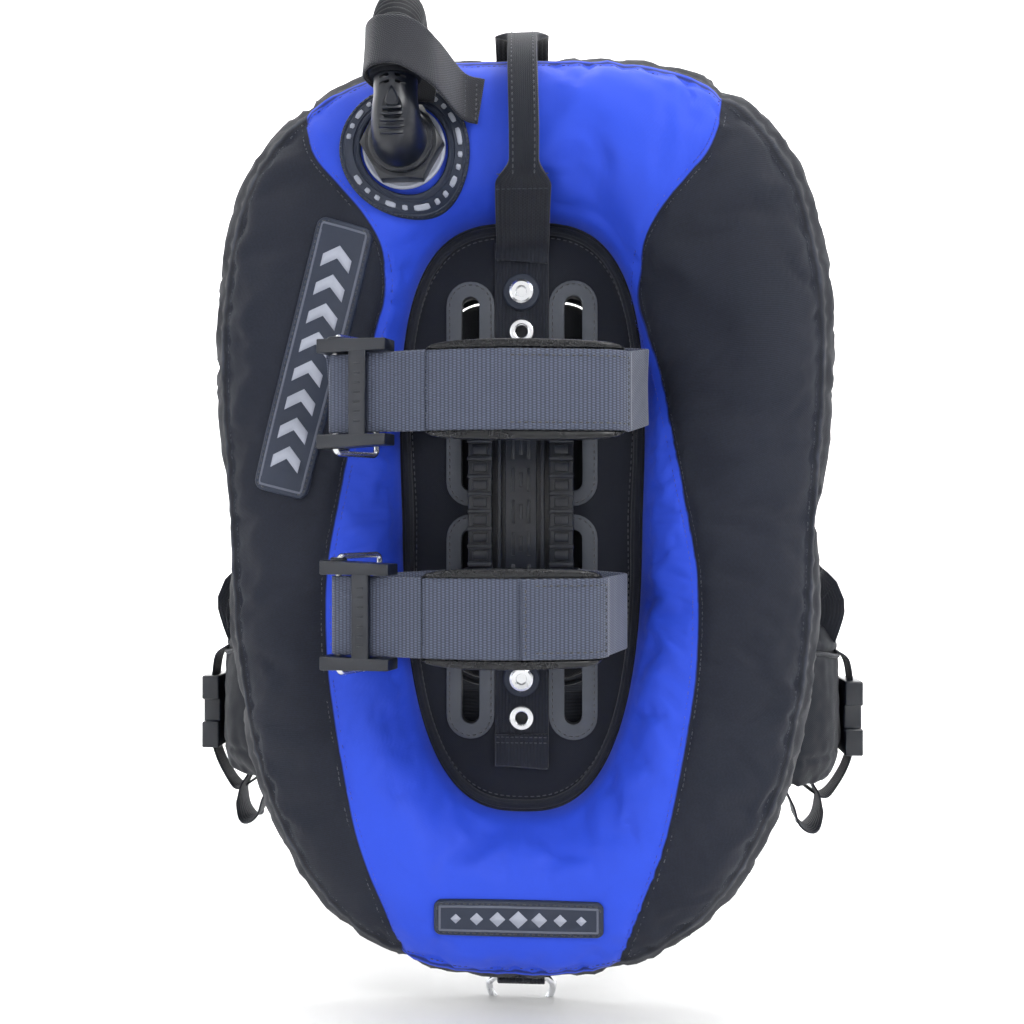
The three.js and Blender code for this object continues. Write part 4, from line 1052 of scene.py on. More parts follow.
def stitchRow(name, places, finish, length=2.6, gap=1.2, thick=0.42, body="vest"):
    # places is a line of (point, normal) pairs in metres; each stitch is a small spindle that sinks at both ends
    points, faces = [], []
    travelled, nextAt = 0.0, 0.0
    step = (length + gap) * mm
    for (a, na), (b, nb) in zip(places, places[1:]):
        span = (b - a).length
        if span < 1e-9:
            continue
        along = (b - a) / span
        while nextAt < travelled + span:
            middle = a + along * (nextAt - travelled)
            normal = na.lerp(nb, (nextAt - travelled) / span).normalized()
            beside = along.cross(normal).normalized()
            base = len(points)
            half = length * mm / 2
            w = thick * mm
            points += [middle - along * half - normal * w * 0.3, middle + along * half - normal * w * 0.3]
            for k in (-0.35, 0.35):
                c = middle + along * (half * 2 * k)
                points += [c + beside * w, c + normal * w, c - beside * w, c - normal * w * 0.4]
            for k in range(4):
                m = (k + 1) % 4
                faces.append((base, base + 2 + m, base + 2 + k))
                faces.append((base + 2 + k, base + 2 + m, base + 6 + m, base + 6 + k))
                faces.append((base + 1, base + 6 + k, base + 6 + m))
            nextAt += step
        travelled += span
    if not points:
        return None
    piece = madeMesh(name, points, faces)
    outward(piece)
    return settled(piece, body, finish=finish)


def innerBladder():
    # the bag inside, a little slack, so that a dent in the cover never reaches it
    bag = copyOfNode("air_bladder", "inner_bladder")
    for vertex in bag.data.vertices:
        x, y, z = vertex.co / mm
        angle = math.atan2(z - wing["centreZ"], x / narrowing(z))
        t = shareAcross(x, z)
        inner, outer = innerRadius(angle), outerRadius(angle)
        slackX, slackZ = ovalPoint(angle, inner + (0.5 + (t - 0.5) * 0.95) * (outer - inner))
        vertex.co = point(slackX, cellMiddle(t) + (y - cellMiddle(t)) * 0.84, slackZ)
    settled(bag, stands="air_bladder", finish="bladder")


innerBladder()
cover, coverInfo = wingCover()
cover.data.materials.append(coverPaint())
settled(cover, "vest", "wing_shell")
onCover = nearestPoint(coverInfo, cover)
print("air cell cover ready")


def seamStitches():
    for side in (-1, 1):
        for offset, finish in ((-3.0, "blueThread"), (3.0, "greyThread")):
            line = []
            for i in range(301):
                z = 262 - i * 2
                x = wing["seamMiddle"] + side * (seamHalf(z) + offset * math.sqrt(
                    1 + ((seamHalf(z + 2) - seamHalf(z - 2)) / 4) ** 2))
                t = shareAcross(x, z)
                if t < wing["gussetAt"] - 0.03 and freedom(x, z) > 0:
                    line.append(onCover(x, z))
            name = "seam_stitches_" + ("left" if side < 0 else "right") + ("_bright" if offset < 0 else "_dark")
            stitchRow(name, line, finish, thick=0.3)
    rim = []
    for angle in evenAngles(900):
        inner, outer = innerRadius(angle), outerRadius(angle)
        x, z = ovalPoint(angle, inner + (wing["gussetAt"] - 0.034) * (outer - inner))
        rim.append(onCover(x, z))
    stitchRow("edge_stitches", rim, "greyThread", thick=0.32)


seamStitches()


# the middle panel, its webbing, bolts, eyelets and slot trims
middle = {
    "panelFront": 12, "binding": 9, "stripWidth": 39, "stripFront": 9.7,
    "bolts": (139.7, -139.7), "eyelets": (111.2, -168.2),
    "slotX": 37.3, "slotWidth": 13, "slotLength": 141, "slotZ": (66.5, -102.5), "slotBorder": 11, "trimTop": 9.7,
}


def openingLine(inset, count=220, lift=0.0):
    # the opening's outline, drawn in by inset, at the panel's face
    line = []
    for i in range(count):
        angle = tau * i / count
        x, z = ovalPoint(angle, innerRadius(angle) - inset)
        line.append(Vector((x, middle["panelFront"] - lift, z)))
    return line


def panelBinding():
    # a folded tape sewn round the panel's edge, a little wavy where it turns the corners
    path = []
    for i, p in enumerate(openingLine(middle["binding"] * 0.5 - 0.6, 260)):
        wave = noiseAt(i * 0.11, 0, 2.0, 1.0)
        path.append(Vector((p.x * (1 + 0.004 * wave), p.y - 0.9 - 0.5 * abs(wave), p.z + 0.5 * wave)))
    ring = swept("panel_binding", path, Vector((0, 1, 0)),
                 lambda t: [(s, u) for s, u in ((-4.6, -0.8), (-4.2, 0.7), (-2.2, 1.3), (0, 1.5), (2.2, 1.3),
                                                (4.2, 0.7), (4.6, -0.8))], loop=True)
    settled(ring, finish="strapWeb")
    row = []
    for p in openingLine(middle["binding"] + 1.2, 300, 0.1) + openingLine(middle["binding"] + 1.2, 300, 0.1)[:1]:
        row.append((p * mm, Vector((0, -1, 0))))
    stitchRow("panel_stitches", row, "greyThread", length=2.8, gap=1.6, thick=0.34)


def stripWebbing():
    half = 0.5 * min(middle["stripWidth"], 2 * (middle["slotX"] - middle["slotWidth"] / 2 - middle["slotBorder"] - 0.3))
    y = middle["stripFront"] + 1
    path = [Vector((0, y, z)) for z in range(-204, 177, 4)]
    strip = tape("webbing_down_the_middle", path, Vector((1, 0, 0)), 2 * half, 2.0, columns=14)
    holes = []
    for z in middle["bolts"] + middle["eyelets"]:
        clearSelection()
        bpy.ops.mesh.primitive_cylinder_add(vertices=32, radius=4.6 * mm, depth=0.02, location=point(0, y, z),
                                            rotation=(math.pi / 2, 0, 0))
        holes.append(started("hole"))
    carved(strip, *holes)
    fold = [(0, y - 1.1, -204), (0.3, y - 2.2, -200), (0.4, y - 2.0, -192), (0.2, y - 1.9, -180)]
    tail = tape("webbing_fold", curveThrough(fold, 14), Vector((1, 0, 0)), 2 * half - 0.8, 1.6, columns=10)
    settled(strip, stands="centre_webbing", finish="strapWeb")
    settled(tail, finish="strapWeb")
    for z in (-182, -186, 168, 163):
        row = [(point(x, y - (3.0 if z < 0 else 1.1), z), Vector((0, -1, 0))) for x in range(-17, 18, 2)]
        stitchRow("cross_stitch_" + str(abs(z)), row, "greyThread", length=2.2, gap=1.2, thick=0.34)


def boltsAndEyelets():
    for name, z in zip(("upper", "lower"), middle["bolts"]):
        face = middle["stripFront"]
        washer = lathed(f"washer_{name}", [(5.2, -0.2), (5.2, 2.0), (9.5, 2.3), (12.4, 1.9), (13.2, 1.0), (13.2, -0.1),
                                          (5.2, -0.2)], (0, face - 0.4, z), steps=40)
        settled(washer, finish="rubber")
        outline = [(0, 2.6), (3.4, 2.6), (4.2, 5.6), (7.0, 6.0), (8.5, 5.2), (9.2, 3.2), (9.6, 2.4), (11.0, 2.2),
                   (11.2, 1.4), (4.3, 1.2), (4.3, -11.4), (8.0, -11.4), (8.0, -12.8), (0, -12.8)]
        head = lathed(f"bolt_head_{name}", outline, (0, face, z), steps=48)
        clearSelection()
        bpy.ops.mesh.primitive_cylinder_add(vertices=6, radius=3.9 * mm, depth=5 * mm,
                                            location=point(0, face - 4.6, z), rotation=(math.pi / 2, 0, 0))
        carved(head, started("hex_socket"))
        smoothed(head)
        settled(head, stands=f"bolt_{name}", finish="steel")
    for name, z in zip(("upper", "lower"), middle["eyelets"]):
        outline = [(4.2, -5.2), (4.2, 0.6), (4.7, 1.6), (5.6, 2.1), (7.0, 2.2), (8.4, 1.7), (9.0, 0.9), (9.1, 0.2),
                   (5.2, 0.1), (5.2, -5.2), (4.2, -5.2)]
        eyelet = lathed(f"eyelet_{name}", outline, (0, middle["stripFront"], z), steps=48)
        settled(eyelet, stands=f"grommet_{name}", finish="steel")


def slotTrims():
    names = {(-1, 0): "upper_left", (1, 0): "upper_right", (-1, 1): "lower_left", (1, 1): "lower_right"}
    for side in (-1, 1):
        for row, z in enumerate(middle["slotZ"]):
            x = side * middle["slotX"]
            inner, outer = middle["slotWidth"] / 2, middle["slotWidth"] / 2 + middle["slotBorder"]
            straight = middle["slotLength"] / 2 - inner
            y0 = middle["trimTop"]
            piece = copyOfNode("slot_trim_" + names[(side, row)], "slot_edge_" + names[(side, row)])
            softened(piece, 0.6, 3, 50)
            settled(piece, stands="slot_trim_" + names[(side, row)], finish="trimRubber")
            line = []
            reach = outer - 2.4
            for i in range(41):
                a = math.pi * i / 40
                place = point(x + reach * math.cos(a), y0 - 0.02, z + straight + reach * math.sin(a))
                line.append((place, Vector((0, -1, 0))))
            for i in range(41):
                a = math.pi + math.pi * i / 40
                place = point(x + reach * math.cos(a), y0 - 0.02, z - straight + reach * math.sin(a))
                line.append((place, Vector((0, -1, 0))))
            line.append(line[0])
            stitchRow("slot_stitches_" + names[(side, row)], line, "blackThread", length=3.0, gap=1.7, thick=0.42)


panel = boxPattern(copyOfNode("centre_panel", "middle_panel"))
settled(panel, stands="centre_panel", finish="panelCloth")
panelBinding()
stripWebbing()
boltsAndEyelets()
slotTrims()
print("middle panel ready")


# the moulded support between the bands
support = {
    "low": -125, "high": 100, "plateau": 11.4, "railInner": 20.5, "railOuter": 37.5, "back": 9.4, "floor": 5,
    "railFront": -4.6, "barFront": -8, "barTall": 3.2, "pitch": 12.5, "bossTall": 6.6, "bossFront": -6.4,
    "ridgeAt": 15.6, "ridgeWide": 3.2,
}


def supportBody():
    s = support
    parts = [
        block("support_base", (-s["railOuter"], s["floor"], s["low"]), (s["railOuter"], s["back"], s["high"])),
        block("support_plateau", (-s["plateau"], 0, s["low"] + 2), (s["plateau"], s["floor"] + 1, s["high"] - 2)),
    ]
    for side in (-1, 1):
        a, b = sorted((side * s["railInner"], side * s["railOuter"]))
        parts.append(block("support_rail", (a, s["railFront"], s["low"]), (b, s["floor"] + 1, s["high"])))
        a, b = sorted((side * (s["ridgeAt"] - s["ridgeWide"] / 2), side * (s["ridgeAt"] + s["ridgeWide"] / 2)))
        parts.append(block("support_ridge", (a, -1.4, s["low"] + 1), (b, s["floor"] + 1, s["high"] - 1)))
    for part in parts:
        choose(part)
        bpy.ops.object.mode_set(mode="EDIT")
        bpy.ops.mesh.select_all(action="SELECT")
        bpy.ops.mesh.bevel(offset=1.1 * mm, segments=3, affect="EDGES")
        bpy.ops.object.mode_set(mode="OBJECT")
    body = together("support_body", parts)
    smoothed(body, 40)
    settled(body, stands="tank_support", finish="plasticSatin")

    # one bar and one rounded boss, copied up both rails
    count = int((s["high"] - s["low"] - s["barTall"] - 2) // s["pitch"])
    first = (s["high"] + s["low"]) / 2 - count * s["pitch"] / 2
    bar = block("rail_bar", (s["railInner"] - 0.4, s["barFront"], -s["barTall"] / 2),
                (s["railOuter"] + 0.4, s["railFront"] + 1, s["barTall"] / 2))
    softened(bar, 1.0, 3, 30)
    boss = block("rail_boss", (s["railInner"] + 3.4, s["bossFront"], -s["bossTall"] / 2),
                 (s["railOuter"] - 3.2, s["railFront"] + 1, s["bossTall"] / 2))
    choose(boss)
    bpy.ops.object.mode_set(mode="EDIT")
    bm = bmesh.from_edit_mesh(boss.data)
    for face in bm.faces:
        face.select = face.normal.y < -0.9
    bmesh.update_edit_mesh(boss.data)
    bpy.ops.mesh.inset(thickness=1.7 * mm, depth=1.1 * mm)
    bpy.ops.object.mode_set(mode="OBJECT")
    softened(boss, 0.8, 3, 20)
    copies = []
    for side in (-1, 1):
        for i in range(count + 1):
            z = first + i * s["pitch"]
            copies.append(moved(twin(bar, "bar"), by=(0 if side > 0 else -(s["railInner"] + s["railOuter"]), 0, z)))
            if i < count:
                shift = 0 if side > 0 else -(s["railInner"] + s["railOuter"])
                copies.append(moved(twin(boss, "boss"), by=(shift, 0, z + s["pitch"] / 2)))
    bpy.data.objects.remove(bar)
    bpy.data.objects.remove(boss)
    rungs = together("support_rungs", copies)
    settled(rungs, finish="plasticSatin")

    # a plain raised pattern down the plateau: rounded bars in pairs
    marks = []
    z = s["low"] + 14
    while z < s["high"] - 14:
        for x, wide, tall in ((-5.6, 2.6, 17), (0, 2.6, 11), (5.6, 2.6, 17)):
            mark = block("plateau_mark", (x - wide / 2, -0.7, z - tall / 2), (x + wide / 2, 0.5, z + tall / 2))
            softened(mark, 0.6, 2, 30)
            marks.append(mark)
        z += 23
    settled(together("plateau_marks", marks), finish="plasticSatin")


supportBody()
print("tank support ready")


# the two tank bands with their saddles and levers
band = {
    "width": 50, "thickness": 1.8, "plateBack": 19.6, "behindPlate": 1.6, "throughX": 41.4, "corner": 4.6,
    "pinWire": 2, "stitchGap": 0.5, "pinY": -91, "linkAcross": 20, "linkDeep": 35, "reach": 122, "tail": 26,
    "saddleHeight": 62, "saddleThick": 5, "leverAngle": -18, "leverLeft": 9, "leverRight": 40,
    "barFrom": 14, "barTo": 26, "railTall": 9, "railFront": 9, "railBack": 5,
}
bandSet = [
    {"name": "upper", "z": 74, "droop": 0.2, "pinX": -114, "turnX": 84, "flapFrom": -29},
    {"name": "lower", "z": -85, "droop": 0, "pinX": -112, "turnX": 70, "flapFrom": 6},
]


def wrapAround(centre, radius, start, end, steps):
    return [Vector((centre.x + radius * math.cos(math.radians(start + (end - start) * i / steps)),
                    centre.y + radius * math.sin(math.radians(start + (end - start) * i / steps)), 0))
            for i in range(steps + 1)]


def bandLines(one):
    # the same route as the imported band: the link's loop, through the slots, round the front and about the pin
    b = band
    radius = b["pinWire"] + b["stitchGap"] + b["thickness"] / 2
    behind = b["plateBack"] + b["behindPlate"]
    pin = Vector((one["pinX"], b["pinY"], 0))
    far = Vector((one["pinX"] + b["linkAcross"], b["pinY"] + b["linkDeep"], 0))
    slotIn = Vector((-b["throughX"], -2, 0))
    toSlot = math.degrees(math.atan2(slotIn.y - far.y, slotIn.x - far.x))

    def level(p):
        return Vector((p.x, p.y, one["z"] + one["droop"] * max(min(p.y, 0), b["pinY"])))

    linkLoop = wrapAround(far, radius, toSlot - 360, toSlot - 90, 18)
    pinLoop = wrapAround(pin, radius, b["leverAngle"] + 270, b["leverAngle"] + 90, 14)
    lean = math.radians(b["leverAngle"])
    tail = pinLoop[-1] + Vector((math.cos(lean), math.sin(lean), 0)) * b["tail"]
    front = roundCorners([
        (linkLoop[-1], 0), (slotIn, 10), (Vector((-b["throughX"], behind, 0)), b["corner"]),
        (Vector((b["throughX"], behind, 0)), b["corner"]), (Vector((b["throughX"], -2, 0)), 10),
        (Vector((one["turnX"] + 4, -50, 0)), 12), (Vector((one["turnX"] - 16, -b["reach"] + 14, 0)), 20),
        (Vector((-20, -b["reach"], 0)), 150), (pinLoop[0], 0)], 10)
    return [level(p) for p in linkLoop[:-1] + front[:-1] + pinLoop + [tail]], [level(p) for p in front], level(pin), far


def filled(points, spacing):
    # the same line with more points on its long stretches
    out = [points[0]]
    for a, b in zip(points, points[1:]):
        steps = max(int((b - a).length // spacing), 1)
        out += [a.lerp(b, k / steps) for k in range(1, steps + 1)]
    return out


def tankBand(one):
    b = band
    path, front, pin, far = bandLines(one)
    strap = tape("band_" + one["name"], filled(path, 6), up, b["width"], b["thickness"], columns=8)
    settled(strap, stands="tank_band_" + one["name"], finish="bandWeb")

    # the outer layer that is pressed on to the band, with its rows of stitches
    fromX, along = one["flapFrom"], []
    for p, q in zip(front, front[1:]):
        way = q - p
        if way.length > 1e-6:
            outwards = Vector((way.y, -way.x, 0)).normalized()
            if p.y < -70 and max(p.x, q.x) > fromX:
                along.append((p, outwards))
    layer = []
    for p, o in along:
        side = 1 if o.y < 0 or o.x > 0 else -1
        layer.append(p + o * side * (b["thickness"] + 0.25))
    # carry the line on to where the stitched end lies
    nextPoint = [p for p in front if p.x < fromX and p.y < -100][:1]
    if nextPoint and layer[-1].x > fromX:
        goal = nextPoint[0] - Vector((0, b["thickness"] + 0.25, 0))
        share = (layer[-1].x - fromX) / max(layer[-1].x - goal.x, 1e-6)
        layer.append(layer[-1].lerp(goal, min(share, 1)))
    layer = filled(layer, 6)
    flap = tape("band_layer_" + one["name"], layer, up, b["width"] - 0.6, 1.6, columns=8)
    settled(flap, finish="bandWeb")
    rows = []
    for u in (-20.5, 20.5):
        line = []
        for p, q in zip(layer, layer[1:]):
            way = (q - p).normalized()
            normal = Vector((way.y, -way.x, 0))
            normal = normal if normal.y < 0 or normal.x > 0.5 else -normal
            line.append(((p + Vector((0, 0, u)) + normal * 0.85) * mm, normal))
        rows.append(line[2:-1])
    for index in (2, -2):
        p, q = layer[index], layer[index + 1]
        way = (q - p).normalized()
        normal = Vector((way.y, -way.x, 0))
        normal = normal if normal.y < 0 or normal.x > 0.5 else -normal
        rows.append([((p + Vector((0, 0, u)) + normal * 0.85) * mm, normal) for u in (-20.5, -10, 0, 10, 20.5)])
    for k, row in enumerate(rows):
        stitchRow(f"band_stitches_{one['name']}_{k + 1}", row, "blackThread", length=2.6, gap=1.6, thick=0.45)

    saddle(one, front)
    lever(one, pin)
    link(one, pin, far)


def saddle(one, front):
    b = band
    low = b["thickness"] / 2 + 0.6
    high = low + b["saddleThick"]
    inside, lip = b["width"] / 2 + 0.6, -1.6
    path = [p for p in front if p.y < -b["reach"] + 20 and one["pinX"] + b["leverRight"] + 8 < p.x < one["turnX"]]
    path = evenly(filled(path, 3), 46)

    def section(t):
        reach = inside + 0.8 + (b["saddleHeight"] / 2 - inside - 0.8) * max(1 - abs(2 * t - 1) ** 3, 0) ** 0.5
        half = [(low, -inside), (lip + 0.5, -inside), (lip, -inside - 0.5), (lip, -reach + 1.2),
                (lip + 0.5, -reach + 0.3), (lip + 1.6, -reach), (high - 1.5, -reach), (high - 0.4, -reach + 0.5),
                (high, -reach + 1.6)]
        return half + [(s, -u) for s, u in reversed(half)]
    piece = swept("saddle_" + one["name"], path, up, section)
    smoothed(piece, 50)
    settled(piece, stands="band_pad_" + one["name"], finish="glossRubber")


def lever(one, pin):
    b = band
    low = b["width"] / 2 + 1
    high = low + b["railTall"]
    radius = b["pinWire"] + b["stitchGap"] + b["thickness"] / 2
    back = radius + b["thickness"] / 2 + 0.6
    parts = []
    for sign in (-1, 1):
        z0, z1 = sorted((sign * low, sign * high))
        rail = block("lever_rail", (-b["leverLeft"], -b["railFront"], z0), (b["leverRight"], b["railBack"], z1))
        choose(rail)
        bpy.ops.object.mode_set(mode="EDIT")
        bm = bmesh.from_edit_mesh(rail.data)
        for face in bm.faces:
            face.select = face.normal.y < -0.9
        bmesh.update_edit_mesh(rail.data)
        bpy.ops.mesh.inset(thickness=1.7 * mm, depth=0.9 * mm)
        bpy.ops.mesh.inset(thickness=0.9 * mm, depth=-1.0 * mm)
        bpy.ops.object.mode_set(mode="OBJECT")
        for vertex in rail.data.vertices:
            # the rails get thinner towards the free end
            t = (vertex.co.x / mm + b["leverLeft"]) / (b["leverLeft"] + b["leverRight"])
            vertex.co.z -= sign * 1.8 * mm * t * (1 if abs(vertex.co.z) > abs((low + high) / 2 * mm) else 0)
        softened(rail, 0.8, 3, 25)
        top = z1 + (1.7 if sign > 0 else 0)
        outline = [(2.5, z0 - 0.01), (5.4, z0), (5.4, z1 + (1.0 if sign > 0 else 0)), (4.6, top), (2.5, top), (2.5, z0)]
        boss = lathed("lever_boss", outline, (0, 0, 0), axis="Z", steps=28)
        parts += [rail, boss]
    bar = block("lever_bar", (b["barFrom"], -back - 4, -low - 1), (b["barTo"], -back, low + 1))
    choose(bar)
    bpy.ops.object.mode_set(mode="EDIT")
    bm = bmesh.from_edit_mesh(bar.data)
    for face in bm.faces:
        face.select = face.normal.y < -0.9
    bmesh.update_edit_mesh(bar.data)
    bpy.ops.mesh.inset(thickness=2.0 * mm, depth=0.0)
    bpy.ops.mesh.inset(thickness=0.6 * mm, depth=-0.5 * mm)
    bpy.ops.object.mode_set(mode="OBJECT")
    softened(bar, 0.7, 3, 25)
    parts.append(bar)
    for i in range(7):
        # plain ribs to give the thumb a grip
        z = -18 + i * 6
        rib = block("lever_rib", (b["barFrom"] + 3.6, -back - 4.3, z - 0.8), (b["barTo"] - 3.6, -back - 3, z + 0.8))
        parts.append(softened(rib, 0.5, 2, 30))
    cam = together("lever_" + one["name"], parts)
    moved(cam, turn=(b["leverAngle"], "Z"))
    moved(cam, by=tuple(pin))
    smoothed(cam, 35)
    settled(cam, one["name"] + "_lever", "buckle_lever_" + one["name"], "plasticSatin")


def link(one, pin, far):
    b = band
    end = b["width"] / 2 + 1 + b["railTall"] + 0.4 + b["pinWire"]
    farLevel = Vector((far.x, far.y, pin.z))
    corner = b["pinWire"] + 2.2
    wire = roundCorners([(pin, 0), (pin + up * end, corner), (farLevel + up * end, corner),
                         (farLevel - up * end, corner), (pin - up * end, corner), (pin, 0)], 8)[:-1]
    across = Vector((far.x - pin.x, far.y - pin.y, 0)).cross(up).normalized()
    loop = swept("wire_link_" + one["name"], wire, across, roundSection(b["pinWire"], 14), loop=True)
    settled(loop, stands="buckle_link_" + one["name"], finish="steel")


for one in bandSet:
    tankBand(one)
print("tank bands ready")


# the port, its patch, the elbow and the hose
port = {
    "x": -76, "z": 226, "patchLift": 2.2, "flange": 28, "flangeThick": 4, "nut": 28, "nutTall": 12, "stand": 20,
    "bend": 16, "rise": 16, "hoseRadius": 17, "foldPitch": 5.2, "strapWidth": 36,
}


def discFront(x, z, r):
    places = [(x, z)] + [(x + r * math.cos(tau * i / 24), z + r * math.sin(tau * i / 24)) for i in range(24)]
    return min(wingFront(a, b) for a, b in places)


def discBack(x, z, r):
    places = [(x, z)] + [(x + r * math.cos(tau * i / 24), z + r * math.sin(tau * i / 24)) for i in range(24)]
    return max(wingBack(a, b) for a, b in places)


portFace = discFront(port["x"], port["z"], port["flange"]) - 0.6
elbowFace = portFace - port["flangeThick"] - 0.3 - port["nutTall"] - 0.3
hoseStart = Vector((port["x"], elbowFace - port["stand"], port["z"] + port["bend"] + port["rise"] + 0.6))


def portPatch():
    # a moulded ring that follows the cell, with two grooves and a stitched rim
    p = port
    profile = [(29.5, 0.2), (29.5, 2.4), (30.4, 3.3), (32.2, 3.5), (33.0, 2.6), (33.8, 2.6), (34.4, 3.4), (35.2, 2.9),
               (40.0, 2.7), (40.6, 2.1), (41.4, 2.1), (42.0, 2.7), (43.2, 2.3), (44.0, 1.3), (44.0, 0.1)]
    points, faces = [], []
    count = 120
    for i in range(count):
        a = tau * i / count
        for r, h in profile:
            x, z = p["x"] + r * math.cos(a), p["z"] + r * math.sin(a)
            points.append(point(x, wingFront(x, z) - p["patchLift"] - h + 0.1, z))
    n = len(profile)
    for i in range(count):
        k = (i + 1) % count
        for j in range(n):
            l = (j + 1) % n
            faces.append((i * n + j, k * n + j, k * n + l, i * n + l))
    ring = outward(madeMesh("port_ring", points, faces))
    settled(smoothed(ring, 30), stands="port_patch", finish="patchRubber")

    def onRing(r, a, h):
        x, z = p["x"] + r * math.cos(a), p["z"] + r * math.sin(a)
        return point(x, wingFront(x, z) - p["patchLift"] - h, z)
    row = [(onRing(43.1, tau * i / 180, 2.3), Vector((0, -1, 0))) for i in range(181)]
    stitchRow("port_ring_stitches", row, "blackThread", length=2.4, gap=1.5, thick=0.42)

    # pale raised dashes round the ring
    points, faces = [], []
    lengths = (10, 5, 5, 10, 5, 16, 5, 5, 10, 5, 5, 16)
    place = -150.0
    k = 0
    while place < 175:
        span = lengths[k % len(lengths)]
        steps = max(int(span / 2.5), 2)
        start = len(points)
        for i in range(steps + 1):
            a = math.radians(place + span * i / steps)
            trim = 0.5 if i in (0, steps) else 0
            for r, h in ((36.1 + trim, 2.6), (36.1 + trim, 3.15), (36.7, 3.35), (38.9, 3.3), (39.5 - trim, 3.1),
                         (39.5 - trim, 2.5)):
                points.append(onRing(r, a, h))
        for i in range(steps):
            for j in range(6):
                l = (j + 1) % 6
                faces.append((start + i * 6 + j, start + i * 6 + 6 + j, start + i * 6 + 6 + l, start + i * 6 + l))
        faces.append(tuple(start + j for j in range(6)))
        faces.append(tuple(start + steps * 6 + 5 - j for j in range(6)))
        place += span + 6.5
        k += 1
    settled(outward(madeMesh("port_ring_dashes", points, faces)), finish="silverPrint")


def portFittings():
    p = port
    x, z = p["x"], p["z"]
    outline = [(0, -12), (20, -12), (20, -0.2), (27.2, 0), (28, 0.8), (28, 3.0), (26.6, 4.0), (24.6, 3.4), (23.0, 3.9),
               (0, 4.0)]
    flange = lathed("port_seat", outline, (x, portFace, z), steps=72)
    settled(flange, stands="port_flange", finish="silverPrint")
    nutBack = portFace - p["flangeThick"] - 0.3
    clearSelection()
    bpy.ops.mesh.primitive_cylinder_add(vertices=6, radius=p["nut"] * mm, depth=p["nutTall"] * mm,
                                        location=point(x, nutBack - p["nutTall"] / 2, z), rotation=(math.pi / 2, 0, 0))
    nut = started("port_nut")
    moved(nut, turn=(30, "Y"), about=(x, 0, z))
    cone = lathed("nut_chamfer", [(0, -2), (33, -2), (33, 6.2), (23.2, 12.4), (0, 12.4)], (x, nutBack, z), steps=72)
    applied(nut, "BOOLEAN", operation="INTERSECT", object=cone, solver="EXACT")
    bpy.data.objects.remove(cone)
    softened(nut, 0.8, 3, 22)
    settled(nut, stands="hex_nut", finish="plasticSatin")
    outline = [(15, 0), (21, 0), (21.4, 0.8), (21.4, 2.6), (20.2, 3.8), (18.4, 4.2), (15, 4.2), (15, 0)]
    collar = lathed("elbow_collar", outline, (x, elbowFace, z), steps=72)
    settled(collar, finish="plasticSatin")


def elbowBody():
    p = port
    x, z = p["x"], p["z"]
    corner = Vector((x, elbowFace - p["stand"], z))
    top = corner + up * (p["bend"] + p["rise"])
    spine = filled(roundCorners([(Vector((x, elbowFace, z)), 0), (corner, p["bend"]), (top, 0)], 16), 2.0)

    def section(t):
        r = 19.3 - 4.6 * min(t * 1.25, 1) ** 1.2
        return [(r * math.cos(tau * i / 56), r * 0.96 * math.sin(tau * i / 56)) for i in range(56)]
    body = swept("elbow_body", spine, sideways, section)

    # the hollow front: an oval recess with louvres and a cone at its top
    face = corner.y - 16
    clearSelection()
    bpy.ops.mesh.primitive_uv_sphere_add(segments=40, ring_count=20, radius=1, location=point(x, face - 1.2, z + 4.5),
                                         scale=Vector((11.2, 4.6, 15.5)) * mm)
    dish = started("dish")
    slots = []
    for zz, wide in ((25.5, 6.6), (29.8, 6.0)):
        for sign in (-1, 1):
            groove = block("slot_cut", (x + sign * 5.6 - wide / 2 * 1.2, face - 6, z + zz - 0.95),
                           (x + sign * 5.6 + wide / 2 * 1.2, face + 4.4, z + zz + 0.95))
            moved(groove, turn=(sign * 10, "Y"), about=(x + sign * 5.6, 0, z + zz))
            slots.append(softened(groove, 0.7, 3, 30))
    bore = swept("bore", [top + up * 1.0, top - up * 14], sideways, roundSection(12.6, 40))
    carved(body, dish, *slots, bore)
    smoothed(body, 38)
    louvres = []
    for i in range(5):
        zz = z - 7.4 + i * 4.0
        half = 7.6 - 0.55 * abs(i - 1.2) * 1.4
        shares = [2 * k / 12 - 1 for k in range(13)]
        arc = [Vector((x + half * share, face + 1.5 - 1.4 * (1 - share ** 2), zz + 0.9 * share ** 2))
               for share in shares]
        louvres.append(swept("louvre", arc, up, lambda t: [(1.5, -0.7), (0.2, -1.0), (-1.1, -0.2), (-0.9, 0.55),
                                                           (0.4, 0.8), (1.5, 0.6)]))
    cone = lathed("louvre_cone", [(0, -3.5), (4.8, -3.5), (4.4, 0.4), (3.2, 1.7), (0, 2.3)],
                  (x, face + 0.6, z + 13.5), steps=32)
    for vertex in cone.data.vertices:
        # pulled up to a point
        h = (vertex.co.z / mm - z - 13.5)
        if h > 0:
            vertex.co.z += h * 1.1 * mm
            vertex.co.x = (x + (vertex.co.x / mm - x) * (1 - min(h / 9, 0.5))) * mm
    inner = together("elbow_louvres", louvres + [cone])
    smoothed(inner, 40)
    settled(body, stands="inflator_elbow", finish="plasticSatin")
    settled(inner, finish="plasticSatin")


hoseRoute = [(0, 0, 0), (0, 0, 8), (0, 0.5, 20), (-1, 12, 38), (-3, 38, 57), (-6, 76, 62)]


